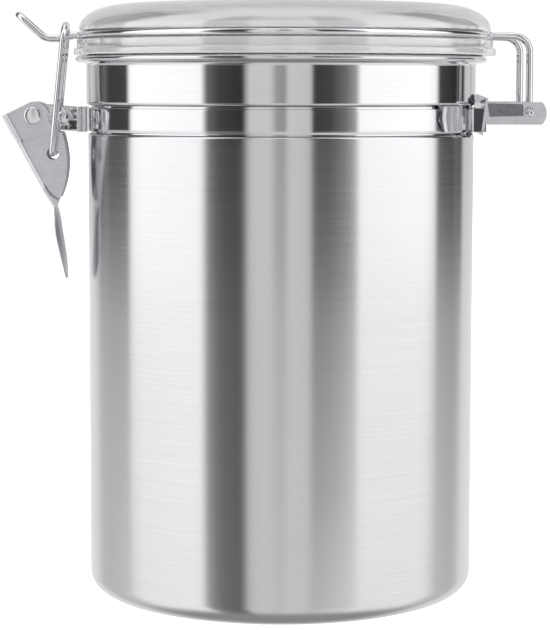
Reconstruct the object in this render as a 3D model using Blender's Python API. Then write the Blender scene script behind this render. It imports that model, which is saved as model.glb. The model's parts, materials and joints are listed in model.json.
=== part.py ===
"""Stainless steel food canister with a clear lid, a wire hinge and an over-centre latch.

Frame: the origin is on the body's axis at the bottom, +Z runs up, the latch is at -X and the hinge
at +X. Sizes below are in millimetres, and MM turns them into metres where a shape is made.
"""

from math import asin, cos, degrees, pi, radians, sin, sqrt

import bmesh
import bpy
from mathutils import Vector

MM = 0.001

# ---- Driving dimensions (mm, degrees) -------------------------------------------------------------

GAP = 0.3  # the least gap between two touching pieces
SHEET = 0.8  # sheet metal of the brackets and the lever
ROUND_STEPS = 64  # facets of the large turned pieces

# Canister body
BODY_RADIUS = 61.0
BODY_WALL = 0.7
BODY_CORNER_RADIAL = 8.0
BODY_CORNER_HEIGHT = 6.5
NECK_LENGTH = 16.85  # from the band's middle to the neck's end
NECK_FLARE = 0.4
RIM_OVERHANG = 3.8  # how far the rolled rim stands out past the wall
RIM_HEIGHT = 1.9
RIM_RISE = 1.0  # from the neck's end to the underside of the rolled rim
EDGE_ROUND = 0.4  # the small rounding of the groove's edges and of the lid's lip
MOUTH_ROUND = 0.6  # the rounding inside the rim

# Clamp band and its groove
BAND_CENTRE_HEIGHT = 150.35
BAND_WIDTH = 7.5
BAND_THICKNESS = 0.6
BAND_INSET = 0.3  # how far the band's face lies inside the body's wall
BAND_CROWN = 0.15
GROOVE_SIDE_ROOM = 1.1
GROOVE_ROLL = 1.2
BAND_END_ANGLE = 12.0  # half of the band's opening, under the hinge bracket

# Lid
LID_SEAT_GAP = GAP
LID_SHIFT = 1.2  # the lid sits this far off the body's axis, towards the hinge
LIP_OVERHANG = 1.7  # the lid's lip past the rim
LID_LIP_HEIGHT = 2.1
FLANGE_OVERHANG = 0.8  # the lid's flange past the rim
LID_FLANGE_HEIGHT = 4.8
FLANGE_LEDGE = 1.6  # from the flange's edge to the middle of the wire that lies on it
DOME_OVERHANG = 0.8  # the dome's edge past the middle of the wire
DOME_EDGE = 0.6  # the upright edge below the dome's shoulder
DOME_SHOULDER_WIDTH = 15.0
DOME_SHOULDER_HEIGHT = 7.6
DOME_CROWN = 0.4
LID_WALL = 2.6
PLUG_ROOM = 3.1  # from the plug to the mouth's wall
PLUG_DEPTH = 2.6
PLUG_WALL = 2.4
PLUG_TAPER = 0.6
PLUG_TAPER_HEIGHT = 1.2
GASKET_WIDTH = 4.4
GASKET_HEIGHT = 1.7
GASKET_BEAD_DEPTH = 0.9
GASKET_BEAD_WIDTH = 1.0
GASKET_BEAD_TAPER = 0.3

# Lid wire frame
FRAME_WIRE = 2.2
HINGE_REACH = 16.4  # from the body's wall to the hinge axis
HINGE_RISE = 2.1  # from the band's middle up to the hinge axis
HINGE_LEG_HALF_SPACING = 10.9
HINGE_LEG_DROP = 0.3  # the legs' upper bend lies this far below the ring
HINGE_LEG_BEND = 5.0
HINGE_PIN_BEND = 1.6
HINGE_PIN_REACH = 1.3  # how far the pin ends stand out of the hinge plates
TAB_HALF_SPACING = 3.4
TAB_DROP = 1.0  # the tab's level part lies this far below the ring
TAB_FLAT_START = 9.2  # from the body's wall
TAB_BEND_REACH = 13.3
TAB_TIP_REACH = 21.55
TAB_TIP_RISE = 7.4  # from the tab's level part to its tip
TAB_BEND = 5.0
TAB_DROP_BEND = 3.0
RING_EXIT_BEND = 1.8
RING_RUN_OUT = 1.0  # the wire stays level this far past the lid's flange

# Hinge bracket
HINGE_ARM_END = 5.3  # from the hinge axis to the arm's tip
HINGE_ARM_HEIGHT = 7.0
HINGE_FLANGE_REACH = 2.4  # from the body's wall to the flange
HINGE_FLANGE_DROP = 3.5  # from the band's middle to the flange's lower edge
HINGE_FLANGE_RISE = 6.85  # from the band's middle to the flange's upper edge
HINGE_CHEEK = 1.4  # from the arm's outer face to the cheek's outer face
PIN_HOLE_ROOM = 1.0  # the holes are this much wider than the wire
WING_THICKNESS = 0.8
WING_EDGE = 0.2  # the wings are this much narrower than the band on each side
HINGE_WING_LENGTH = 2.6  # around the band, past the cheek
CLIP_SPACE = 0.6  # from the hinge bracket's wing to the clip
CLIP_LENGTH = 11.8  # around the band
CLIP_EDGE = 0.4
CLIP_LIP = 0.5

# Latch bracket, lever and rivet
PIVOT_REACH = 16.95  # from the body's wall to the lever's pivot
PIVOT_RISE = 1.15  # from the band's middle up to the pivot
LATCH_ARM_HALF_WIDTH = 5.8
LATCH_ARM_HEIGHT = 7.6
LATCH_SADDLE_DEPTH = 2.6
LATCH_WING_ANGLE = 15.0
LEVER_STEP = 0.6  # the cheeks' outward step around the pivot
RIVET_SHANK = 3.0
RIVET_HEAD = 5.6
RIVET_HEAD_THICKNESS = 0.7
RIVET_CROWN = 0.7  # how far the head's flat lies inside its edge
TONGUE_HALF_WIDTH = 7.0
TONGUE_TIP_HALF_WIDTH = 5.0
TONGUE_THICKNESS = 1.0
TONGUE_SAG = 1.9

# The lever's corners in side view, as (x, z) from its pivot
LEVER_TOP_LEFT = (-9.85, -0.2)
LEVER_TOP_EDGE = (-7.5, 0.9)
LEVER_HEAD_CENTRE = (0.6, -0.1)
LEVER_HEAD_RADIUS = 4.5
LEVER_STEP_LEFT = (-5.1, -8.9)
LEVER_STEP_RIGHT = (5.4, -5.6)
LEVER_UPPER_CORNER = (7.0, -4.9)
LEVER_STEP_OVERLAP = 0.9  # the lower cheek reaches this far up behind the upper one
LEVER_BULGE_CENTRE = (-17.0, -14.6)
LEVER_BULGE_RADIUS = 27.8
LEVER_KNEE = (3.2, -24.45)
LEVER_NECK = (6.45, -29.5)
LEVER_TIP = (9.95, -51.45)
LOOP_HOOK_PLACE = (6.05, -11.9)

# Latch loop
LOOP_WIRE = 2.0
LOOP_HOOK_ROOM = 1.0  # the hook holes are this much wider than the wire
LOOP_HOOK_LENGTH = 1.2  # how far the hooks reach inside the cheeks
LOOP_BAR_REACH = 6.75  # from the body's wall to the bar
LOOP_BAR_RISE = 4.3  # from the tab's level part to the bar
LOOP_CORNER = 6.5
LOOP_HOOK_BEND = 1.6

# ---- Sizes that follow ----------------------------------------------------------------------------

BAND_OUTER = BODY_RADIUS - BAND_INSET
BAND_INNER = BAND_OUTER - BAND_THICKNESS
GROOVE_RADIUS = BAND_INNER - GAP
GROOVE_BOTTOM = BAND_CENTRE_HEIGHT - BAND_WIDTH / 2 - GROOVE_SIDE_ROOM
GROOVE_TOP = BAND_CENTRE_HEIGHT + BAND_WIDTH / 2 + GROOVE_SIDE_ROOM
NECK_TOP = BAND_CENTRE_HEIGHT + NECK_LENGTH
RIM_RADIUS = BODY_RADIUS + RIM_OVERHANG
RIM_BOTTOM = NECK_TOP + RIM_RISE
RIM_TOP = RIM_BOTTOM + RIM_HEIGHT
MOUTH_RADIUS = BODY_RADIUS + NECK_FLARE - BODY_WALL

LID_LIP_RADIUS = RIM_RADIUS + LIP_OVERHANG
LID_FLANGE_RADIUS = RIM_RADIUS + FLANGE_OVERHANG
FRAME_RING_RADIUS = LID_FLANGE_RADIUS - FLANGE_LEDGE
DOME_RADIUS = FRAME_RING_RADIUS + DOME_OVERHANG
PLUG_RADIUS = MOUTH_RADIUS - PLUG_ROOM
LID_BOTTOM = RIM_TOP + LID_SEAT_GAP
FLANGE_TOP = LID_BOTTOM + LID_FLANGE_HEIGHT
RING_HEIGHT = FLANGE_TOP + GAP + FRAME_WIRE / 2
DOME_BOTTOM = RING_HEIGHT + FRAME_WIRE / 2 + GAP
SHOULDER_BOTTOM = DOME_BOTTOM + DOME_EDGE
SHOULDER_CENTRE_RADIUS = DOME_RADIUS - DOME_SHOULDER_WIDTH
WIRE_GROOVE_RADIUS = FRAME_RING_RADIUS - FRAME_WIRE / 2 - GAP
GASKET_INNER = PLUG_RADIUS + GAP
GASKET_OUTER = GASKET_INNER + GASKET_WIDTH
GASKET_TOP = LID_BOTTOM + GASKET_HEIGHT

HINGE_AXIS_X = BODY_RADIUS + HINGE_REACH
HINGE_AXIS_Z = BAND_CENTRE_HEIGHT + HINGE_RISE
TAB_HEIGHT = RING_HEIGHT - TAB_DROP

WING_INNER = BAND_OUTER + GAP
WING_OUTER = WING_INNER + WING_THICKNESS
WING_LOW = BAND_CENTRE_HEIGHT - BAND_WIDTH / 2 + WING_EDGE
WING_HIGH = BAND_CENTRE_HEIGHT + BAND_WIDTH / 2 - WING_EDGE
HINGE_FLANGE_X = BODY_RADIUS + HINGE_FLANGE_REACH
HINGE_PLATE_INNER = HINGE_LEG_HALF_SPACING + FRAME_WIRE / 2 + GAP
HINGE_PLATE_OUTER = HINGE_PLATE_INNER + SHEET
CHEEK_OUTER = HINGE_PLATE_OUTER + HINGE_CHEEK
WING_START_ANGLE = degrees(asin((CHEEK_OUTER - SHEET / 2) / WING_OUTER))
WING_END_ANGLE = degrees(asin(CHEEK_OUTER / WING_OUTER) + HINGE_WING_LENGTH / WING_OUTER)
CLIP_START_ANGLE = WING_END_ANGLE + degrees(CLIP_SPACE / WING_OUTER)
CLIP_END_ANGLE = CLIP_START_ANGLE + degrees(CLIP_LENGTH / WING_OUTER)

PIVOT_X = -(BODY_RADIUS + PIVOT_REACH)
PIVOT_Z = BAND_CENTRE_HEIGHT + PIVOT_RISE
LEVER_UPPER_INNER = LATCH_ARM_HALF_WIDTH + GAP
LEVER_UPPER_OUTER = LEVER_UPPER_INNER + SHEET
LEVER_LOWER_INNER = LEVER_UPPER_INNER - LEVER_STEP
LEVER_LOWER_OUTER = LEVER_LOWER_INNER + SHEET
RIVET_REACH = LEVER_UPPER_OUTER + GAP + RIVET_HEAD_THICKNESS
LOOP_LEG_Y = RIVET_REACH + GAP + LOOP_WIRE / 2


# ---- Materials ------------------------------------------------------------------------------------


def make_material(name, colour, roughness, metallic, alpha=1.0):
    """A Principled material; colour is linear RGB."""
    material = bpy.data.materials.new(name)
    material.use_nodes = True
    shader = material.node_tree.nodes["Principled BSDF"]
    shader.inputs["Base Color"].default_value = (*colour, 1.0)
    shader.inputs["Roughness"].default_value = roughness
    shader.inputs["Metallic"].default_value = metallic
    shader.inputs["Alpha"].default_value = alpha
    material.diffuse_color = (*colour, alpha)
    return material


# ---- Shape helpers --------------------------------------------------------------------------------


def new_object(name, mesh, material):
    """Link a mesh object to the scene with its material, shaded smooth up to 35 degrees."""
    body = bpy.data.objects.new(name, mesh)
    bpy.context.scene.collection.objects.link(body)
    mesh.materials.append(material)
    mesh.shade_smooth()
    mesh.set_sharp_from_angle(angle=radians(35))
    return body


def mesh_from_bmesh(name, shape):
    """Turn a closed bmesh into mesh data with its faces pointing out."""
    bmesh.ops.recalc_face_normals(shape, faces=shape.faces)
    mesh = bpy.data.meshes.new(name)
    shape.to_mesh(mesh)
    shape.free()
    return mesh


def turned_shape(profile, start=0.0, end=360.0, steps=ROUND_STEPS):
    """Spin a closed (radius, height) outline in mm about the Z axis, from start to end in degrees."""
    shape = bmesh.new()
    turn = radians(start)
    corners = [
        shape.verts.new((r * MM * cos(turn), r * MM * sin(turn), z * MM)) for r, z in profile
    ]
    outline = shape.faces.new(corners)
    full = abs(end - start) >= 360.0
    bmesh.ops.spin(
        shape,
        geom=list(outline.edges) if full else [outline, *outline.edges, *outline.verts],
        cent=(0, 0, 0),
        axis=(0, 0, 1),
        angle=radians(end - start),
        steps=steps,
        use_merge=full,
        use_duplicate=False,
    )
    if full:
        bmesh.ops.delete(shape, geom=[outline], context="FACES_ONLY")
    bmesh.ops.remove_doubles(shape, verts=shape.verts, dist=1e-6)
    return shape


def turned(name, profile, material, start=0.0, end=360.0, steps=ROUND_STEPS):
    """An object turned about the Z axis."""
    shape = turned_shape(profile, start, end, steps)
    return new_object(name, mesh_from_bmesh(name, shape), material)


def plate_shape(outline, front, back):
    """A flat plate: an (x, z) outline in mm between two Y values."""
    shape = bmesh.new()
    corners = [shape.verts.new((x * MM, front * MM, z * MM)) for x, z in outline]
    face = shape.faces.new(corners)
    grown = bmesh.ops.extrude_face_region(shape, geom=[face])
    moved = [item for item in grown["geom"] if isinstance(item, bmesh.types.BMVert)]
    bmesh.ops.translate(shape, verts=moved, vec=(0, (back - front) * MM, 0))
    return shape


def box_shape(x0, x1, y0, y1, z0, z1):
    """A box between six values in mm."""
    return plate_shape([(x0, z0), (x1, z0), (x1, z1), (x0, z1)], y0, y1)


def pin_shape(x, z, radius, front, back, sides=24):
    """A round bar along Y."""
    outline = [
        (x + radius * cos(2 * pi * i / sides), z + radius * sin(2 * pi * i / sides))
        for i in range(sides)
    ]
    return plate_shape(outline, front, back)


def arc(centre, radius, start, end, steps):
    """Points along an arc in a plane, from start to end in degrees."""
    turns = [radians(start + (end - start) * i / steps) for i in range(steps + 1)]
    return [(centre[0] + radius * cos(turn), centre[1] + radius * sin(turn)) for turn in turns]


def ellipse_arc(centre, across, up, start, end, steps):
    """Points along a quarter of an ellipse, from start to end in degrees."""
    turns = [radians(start + (end - start) * i / steps) for i in range(steps + 1)]
    return [(centre[0] + across * cos(turn), centre[1] + up * sin(turn)) for turn in turns]


def solid_of(name, parts, cuts, material):
    """Join overlapping shapes into one solid and take the cuts out of it."""
    first = new_object(name, mesh_from_bmesh(name, parts[0]), material)
    tools = [(shape, "UNION") for shape in parts[1:]] + [(shape, "DIFFERENCE") for shape in cuts]
    for index, (shape, operation) in enumerate(tools):
        tool_name = f"{name}_tool_{index}"
        tool = bpy.data.objects.new(tool_name, mesh_from_bmesh(tool_name, shape))
        bpy.context.scene.collection.objects.link(tool)
        tool.hide_render = True
        tool.display_type = "WIRE"
        step = first.modifiers.new(tool_name, "BOOLEAN")
        step.operation = operation
        step.object = tool
    return first


def rounded_route(corners, bends, steps=6):
    """Points along a wire: straight runs between corners, and an arc of bends[i] at corner i."""
    route = [Vector(corners[0])]
    for before, corner, after, bend in zip(corners, corners[1:], corners[2:], bends[1:]):
        here = Vector(corner)
        if bend <= 0:
            route.append(here)
            continue
        back = (Vector(before) - here).normalized()
        ahead = (Vector(after) - here).normalized()
        opening = back.angle(ahead)
        setback = bend / (sin(opening / 2) / cos(opening / 2))
        centre = here + (back + ahead).normalized() * (bend / sin(opening / 2))
        first = here + back * setback - centre
        last = here + ahead * setback - centre
        sweep = first.angle(last)
        for i in range(steps + 1):
            share = i / steps
            weight = sin((1 - share) * sweep) / sin(sweep), sin(share * sweep) / sin(sweep)
            route.append(centre + first * weight[0] + last * weight[1])
    route.append(Vector(corners[-1]))
    return route


def wire(name, route, diameter, material):
    """A round wire with flat ends along points in mm."""
    curve = bpy.data.curves.new(name, "CURVE")
    curve.dimensions = "3D"
    curve.bevel_depth = diameter / 2 * MM
    curve.bevel_resolution = 2
    curve.use_fill_caps = True
    spline = curve.splines.new("POLY")
    spline.points.add(len(route) - 1)
    for point, place in zip(spline.points, route):
        point.co = (*(place * MM), 1.0)
    spline.use_smooth = True
    curve.materials.append(material)
    piece = bpy.data.objects.new(name, curve)
    bpy.context.scene.collection.objects.link(piece)
    return piece


def put_on_axis(piece, x, z, shift=0.0):
    """Put a piece under an empty on a joint axis along Y, with its shape moved by shift along X."""
    piece.parent = bpy.data.objects.new(f"{piece.name}_axis", None)
    piece.parent.location = (x * MM, 0, z * MM)
    bpy.context.scene.collection.objects.link(piece.parent)
    piece.location = ((shift - x) * MM, 0, -z * MM)


# ---- Pieces ---------------------------------------------------------------------------------------


def make_body(steel):
    """The drawn steel canister: a flat base, a grooved wall, a flared neck and a rolled rim."""
    corner = (BODY_RADIUS - BODY_CORNER_RADIAL, BODY_CORNER_HEIGHT)
    outer = [
        (0, 0),
        *ellipse_arc(corner, BODY_CORNER_RADIAL, BODY_CORNER_HEIGHT, -90, 0, 6),
        (BODY_RADIUS, GROOVE_BOTTOM - GROOVE_ROLL),
        (BODY_RADIUS - EDGE_ROUND, GROOVE_BOTTOM - EDGE_ROUND),
        (GROOVE_RADIUS, GROOVE_BOTTOM),
        (GROOVE_RADIUS, GROOVE_TOP),
        (BODY_RADIUS - EDGE_ROUND, GROOVE_TOP + EDGE_ROUND),
        (BODY_RADIUS, GROOVE_TOP + GROOVE_ROLL),
        (BODY_RADIUS + NECK_FLARE, NECK_TOP),
        (BODY_RADIUS + NECK_FLARE + RIM_RISE, RIM_BOTTOM),
    ]
    rim_middle = RIM_BOTTOM + RIM_HEIGHT / 2
    rim = arc((RIM_RADIUS - RIM_HEIGHT / 2, rim_middle), RIM_HEIGHT / 2, -90, 90, 6)
    inner = [
        (MOUTH_RADIUS + MOUTH_ROUND, RIM_TOP),
        (MOUTH_RADIUS, RIM_TOP - MOUTH_ROUND),
        (MOUTH_RADIUS, NECK_TOP),
        (BODY_RADIUS - BODY_WALL, GROOVE_TOP + GROOVE_ROLL),
        (GROOVE_RADIUS - BODY_WALL, GROOVE_TOP + EDGE_ROUND),
        (GROOVE_RADIUS - BODY_WALL, GROOVE_BOTTOM - EDGE_ROUND),
        (BODY_RADIUS - BODY_WALL, GROOVE_BOTTOM - GROOVE_ROLL),
        *ellipse_arc(
            corner,
            BODY_CORNER_RADIAL - BODY_WALL,
            BODY_CORNER_HEIGHT - BODY_WALL,
            0,
            -90,
            6,
        ),
        (0, BODY_WALL),
    ]
    return turned("canister_body", outer + rim + inner, steel)


def make_band(steel):
    """The clamp band: an open ring that lies in the body's groove."""
    half = BAND_WIDTH / 2
    profile = [
        (BAND_INNER, BAND_CENTRE_HEIGHT - half),
        (BAND_OUTER - BAND_CROWN, BAND_CENTRE_HEIGHT - half),
        (BAND_OUTER, BAND_CENTRE_HEIGHT - half + EDGE_ROUND),
        (BAND_OUTER, BAND_CENTRE_HEIGHT + half - EDGE_ROUND),
        (BAND_OUTER - BAND_CROWN, BAND_CENTRE_HEIGHT + half),
        (BAND_INNER, BAND_CENTRE_HEIGHT + half),
    ]
    return turned("clamp_band", profile, steel, BAND_END_ANGLE, 360.0 - BAND_END_ANGLE)


def make_lid(acrylic):
    """The clear lid: a domed shell with a flange, a groove for its wire and a shallow plug."""
    shoulder = (SHOULDER_CENTRE_RADIUS, SHOULDER_BOTTOM)
    outer = [
        (LID_LIP_RADIUS, LID_BOTTOM),
        (LID_LIP_RADIUS, LID_BOTTOM + LID_LIP_HEIGHT),
        (LID_FLANGE_RADIUS, LID_BOTTOM + LID_LIP_HEIGHT + EDGE_ROUND),
        (LID_FLANGE_RADIUS, FLANGE_TOP),
        (WIRE_GROOVE_RADIUS, FLANGE_TOP),
        (WIRE_GROOVE_RADIUS, DOME_BOTTOM),
        (DOME_RADIUS, DOME_BOTTOM),
        *ellipse_arc(shoulder, DOME_SHOULDER_WIDTH, DOME_SHOULDER_HEIGHT, 0, 90, 7),
        (0, SHOULDER_BOTTOM + DOME_SHOULDER_HEIGHT + DOME_CROWN),
    ]
    inner_dome = ellipse_arc(
        shoulder,
        PLUG_RADIUS - PLUG_WALL - SHOULDER_CENTRE_RADIUS,
        DOME_SHOULDER_HEIGHT - LID_WALL,
        90,
        0,
        4,
    )
    under = [
        (0, SHOULDER_BOTTOM + DOME_SHOULDER_HEIGHT + DOME_CROWN - LID_WALL),
        *inner_dome,
        (PLUG_RADIUS - PLUG_WALL, LID_BOTTOM - PLUG_DEPTH),
        (PLUG_RADIUS - PLUG_TAPER, LID_BOTTOM - PLUG_DEPTH),
        (PLUG_RADIUS, LID_BOTTOM - PLUG_DEPTH + PLUG_TAPER_HEIGHT),
        (PLUG_RADIUS, GASKET_TOP + GAP),
        (GASKET_OUTER + GAP, GASKET_TOP + GAP),
        (GASKET_OUTER + GAP, LID_BOTTOM),
    ]
    return turned("lid", outer + under, acrylic)


def make_gasket(silicone):
    """The silicone seal around the plug, flat on the rim, with a bead inside the mouth."""
    bead_outer = GASKET_INNER + GASKET_BEAD_WIDTH
    profile = [
        (GASKET_INNER, LID_BOTTOM - GASKET_BEAD_DEPTH),
        (bead_outer - GASKET_BEAD_TAPER, LID_BOTTOM - GASKET_BEAD_DEPTH),
        (bead_outer, LID_BOTTOM),
        (GASKET_OUTER, LID_BOTTOM),
        (GASKET_OUTER, GASKET_TOP),
        (GASKET_INNER, GASKET_TOP),
    ]
    return turned("lid_gasket", profile, silicone)


def frame_route():
    """The lid wire from its front hinge pin, around the lid by the latch tab, to the rear pin."""
    pin_end = HINGE_PLATE_OUTER + HINGE_PIN_REACH
    exit_angle = asin(HINGE_LEG_HALF_SPACING / FRAME_RING_RADIUS)
    tab_angle = pi - asin(TAB_HALF_SPACING / FRAME_RING_RADIUS)
    clear_x = LID_FLANGE_RADIUS + RING_RUN_OUT

    def on_ring(turn):
        """A point on the ring, which lies around the lid's own axis."""
        across = FRAME_RING_RADIUS * cos(turn)
        return (LID_SHIFT + across, FRAME_RING_RADIUS * sin(turn), RING_HEIGHT)

    corners = [
        (HINGE_AXIS_X, pin_end, HINGE_AXIS_Z),
        (HINGE_AXIS_X, HINGE_LEG_HALF_SPACING, HINGE_AXIS_Z),
        (HINGE_AXIS_X, HINGE_LEG_HALF_SPACING, RING_HEIGHT - HINGE_LEG_DROP),
        (LID_SHIFT + clear_x, HINGE_LEG_HALF_SPACING, RING_HEIGHT),
        on_ring(exit_angle),
    ]
    bends = [0, HINGE_PIN_BEND, HINGE_LEG_BEND, 0, RING_EXIT_BEND]
    room = 2.6 * RING_EXIT_BEND / FRAME_RING_RADIUS
    start = exit_angle + room
    stop = tab_angle - room
    steps = 26
    for i in range(steps + 1):
        corners.append(on_ring(start + (stop - start) * i / steps))
        bends.append(0)
    corners += [
        on_ring(tab_angle),
        (LID_SHIFT - clear_x, TAB_HALF_SPACING, RING_HEIGHT),
        (-(BODY_RADIUS + TAB_FLAT_START), TAB_HALF_SPACING, TAB_HEIGHT),
        (-(BODY_RADIUS + TAB_BEND_REACH), TAB_HALF_SPACING, TAB_HEIGHT),
        (-(BODY_RADIUS + TAB_TIP_REACH), TAB_HALF_SPACING, TAB_HEIGHT + TAB_TIP_RISE),
    ]
    bends += [RING_EXIT_BEND, 0, TAB_DROP_BEND, TAB_BEND, TAB_HALF_SPACING - 0.05]
    corners += [(x, -y, z) for x, y, z in reversed(corners)]
    bends += list(reversed(bends))
    return rounded_route(corners, bends, 5)


def make_frame(steel):
    """The bent wire that holds the lid: hinge legs, a ring and the latch tab."""
    return wire("lid_wire_frame", frame_route(), FRAME_WIRE, steel)


def hinge_arm_outline():
    """The side view of a hinge arm: straight, with a round outer end."""
    half = HINGE_ARM_HEIGHT / 2
    radius = half * 1.4
    lean = degrees(asin(half / radius))
    tip = arc((HINGE_AXIS_X + HINGE_ARM_END - radius, HINGE_AXIS_Z), radius, -lean, lean, 8)
    return [(HINGE_FLANGE_X, HINGE_AXIS_Z - half), *tip, (HINGE_FLANGE_X, HINGE_AXIS_Z + half)]


def wing_profile():
    """The section of a wing that lies around the band."""
    return [
        (WING_INNER, WING_LOW),
        (WING_OUTER, WING_LOW),
        (WING_OUTER, WING_HIGH),
        (WING_INNER, WING_HIGH),
    ]


def make_hinge_bracket(steel):
    """The hinge bracket: two arms on a tall flange, with cheeks and wings that grip the band."""
    arm = hinge_arm_outline()
    parts = [
        box_shape(
            HINGE_FLANGE_X,
            HINGE_FLANGE_X + SHEET,
            -CHEEK_OUTER,
            CHEEK_OUTER,
            BAND_CENTRE_HEIGHT - HINGE_FLANGE_DROP,
            BAND_CENTRE_HEIGHT + HINGE_FLANGE_RISE,
        )
    ]
    half = BAND_WIDTH / 2
    cheek_start = sqrt(WING_INNER**2 - (CHEEK_OUTER - SHEET) ** 2) + 0.1
    for side in (-1, 1):
        parts.append(plate_shape(arm, side * HINGE_PLATE_INNER, side * HINGE_PLATE_OUTER))
        parts.append(
            box_shape(
                cheek_start,
                HINGE_FLANGE_X + SHEET / 2,
                side * (CHEEK_OUTER - SHEET),
                side * CHEEK_OUTER,
                BAND_CENTRE_HEIGHT - half,
                BAND_CENTRE_HEIGHT + half,
            )
        )
        parts.append(
            turned_shape(wing_profile(), side * WING_START_ANGLE, side * WING_END_ANGLE, 2)
        )
    hole = (FRAME_WIRE + PIN_HOLE_ROOM) / 2
    holes = [
        pin_shape(
            HINGE_AXIS_X,
            HINGE_AXIS_Z,
            hole,
            side * (HINGE_PLATE_INNER - 1),
            side * (HINGE_PLATE_OUTER + 1),
        )
        for side in (-1, 1)
    ]
    return solid_of("hinge_bracket", parts, holes, steel)


def make_band_clip(name, side, steel):
    """The crimped end clip that folds over the band's upper edge beside the hinge bracket."""
    half = BAND_WIDTH / 2
    lip_bottom = BAND_CENTRE_HEIGHT + half + GAP
    lip_inner = BAND_INNER + 0.1
    profile = [
        (WING_INNER, BAND_CENTRE_HEIGHT - half + CLIP_EDGE),
        (WING_OUTER, BAND_CENTRE_HEIGHT - half + CLIP_EDGE),
        (WING_OUTER, lip_bottom + CLIP_LIP),
        (lip_inner, lip_bottom + CLIP_LIP),
        (lip_inner, lip_bottom),
        (WING_INNER, lip_bottom),
    ]
    return turned(name, profile, steel, side * CLIP_START_ANGLE, side * CLIP_END_ANGLE, 4)


def make_latch_bracket(steel):
    """The fixed latch bracket: two arms on a saddle, with wings that grip the band."""
    saddle_x = -(WING_INNER + LATCH_SADDLE_DEPTH)
    low = BAND_CENTRE_HEIGHT - BAND_WIDTH / 2
    high = BAND_CENTRE_HEIGHT + BAND_WIDTH / 2
    round_end = arc((PIVOT_X, PIVOT_Z), LATCH_ARM_HEIGHT / 2, 90, 270, 12)
    arm = [(saddle_x, high), *round_end, (saddle_x, low)]
    parts = [
        box_shape(
            saddle_x - SHEET,
            -WING_INNER - 0.1,
            -LATCH_ARM_HALF_WIDTH,
            LATCH_ARM_HALF_WIDTH,
            low,
            high,
        )
    ]
    parts.append(
        turned_shape(wing_profile(), 180 - LATCH_WING_ANGLE, 180 + LATCH_WING_ANGLE, 10)
    )
    for side in (-1, 1):
        inner = side * (LATCH_ARM_HALF_WIDTH - SHEET)
        parts.append(plate_shape(arm, inner, side * LATCH_ARM_HALF_WIDTH))
    hole = pin_shape(
        PIVOT_X,
        PIVOT_Z,
        RIVET_SHANK / 2 + GAP,
        -LATCH_ARM_HALF_WIDTH - 1,
        LATCH_ARM_HALF_WIDTH + 1,
    )
    return solid_of("latch_bracket", parts, [hole], steel)


def from_pivot(place):
    """A point of the lever's side view, from its (x, z) distance to the pivot."""
    return (PIVOT_X + place[0], PIVOT_Z + place[1])


def lever_upper_outline():
    """The cheek around the pivot, down to the step."""
    head = arc(from_pivot(LEVER_HEAD_CENTRE), LEVER_HEAD_RADIUS, 125, -15, 10)
    below = (LEVER_UPPER_CORNER, LEVER_STEP_RIGHT, LEVER_STEP_LEFT)
    return [
        from_pivot(LEVER_TOP_LEFT),
        from_pivot(LEVER_TOP_EDGE),
        *head,
        *[from_pivot(place) for place in below],
    ]


def lever_lower_outline():
    """The cheek from behind the step down to the neck, bulged around the loop's hook holes."""
    bulge = arc(from_pivot(LEVER_BULGE_CENTRE), LEVER_BULGE_RADIUS, 20, -22, 10)
    rise = LEVER_STEP_OVERLAP
    return [
        from_pivot((LEVER_STEP_LEFT[0] - rise / 2 + 0.3, LEVER_STEP_LEFT[1] + rise)),
        from_pivot((LEVER_STEP_RIGHT[0], LEVER_STEP_RIGHT[1] + rise)),
        *bulge,
        from_pivot((LEVER_NECK[0] + SHEET, LEVER_NECK[1])),
        from_pivot(LEVER_NECK),
        from_pivot(LEVER_KNEE),
    ]


def strip_shape(centres, thickness, half_widths):
    """A sheet strip in side view along (x, z) points, with a half width in Y at each point."""
    points = [Vector((x, z)) for x, z in centres]
    shape = bmesh.new()
    rings = []
    for i, point in enumerate(points):
        ahead = points[min(i + 1, len(points) - 1)] - points[max(i - 1, 0)]
        across = Vector((-ahead.y, ahead.x)).normalized() * (thickness / 2)
        wide = half_widths[i]
        corners = (
            (point + across, -wide),
            (point + across, wide),
            (point - across, wide),
            (point - across, -wide),
        )
        rings.append([shape.verts.new((p.x * MM, y * MM, p.y * MM)) for p, y in corners])
    for ring, following in zip(rings, rings[1:]):
        for i in range(4):
            j = (i + 1) % 4
            shape.faces.new((ring[i], ring[j], following[j], following[i]))
    shape.faces.new(rings[0])
    shape.faces.new(list(reversed(rings[-1])))
    return shape


def tongue_line():
    """The finger tongue in side view: a shallow curve from the neck to the tip."""
    start = Vector(from_pivot((LEVER_NECK[0] + SHEET / 2, LEVER_NECK[1] + 2 * SHEET)))
    tip = Vector(from_pivot(LEVER_TIP))
    middle = (start + tip) / 2 + Vector((-TONGUE_SAG, 0))
    steps = 8
    line = []
    for i in range(steps + 1):
        t = i / steps
        line.append(start * (1 - t) ** 2 + middle * (2 * t * (1 - t)) + tip * t**2)
    return [(point.x, point.y) for point in line]


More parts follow.
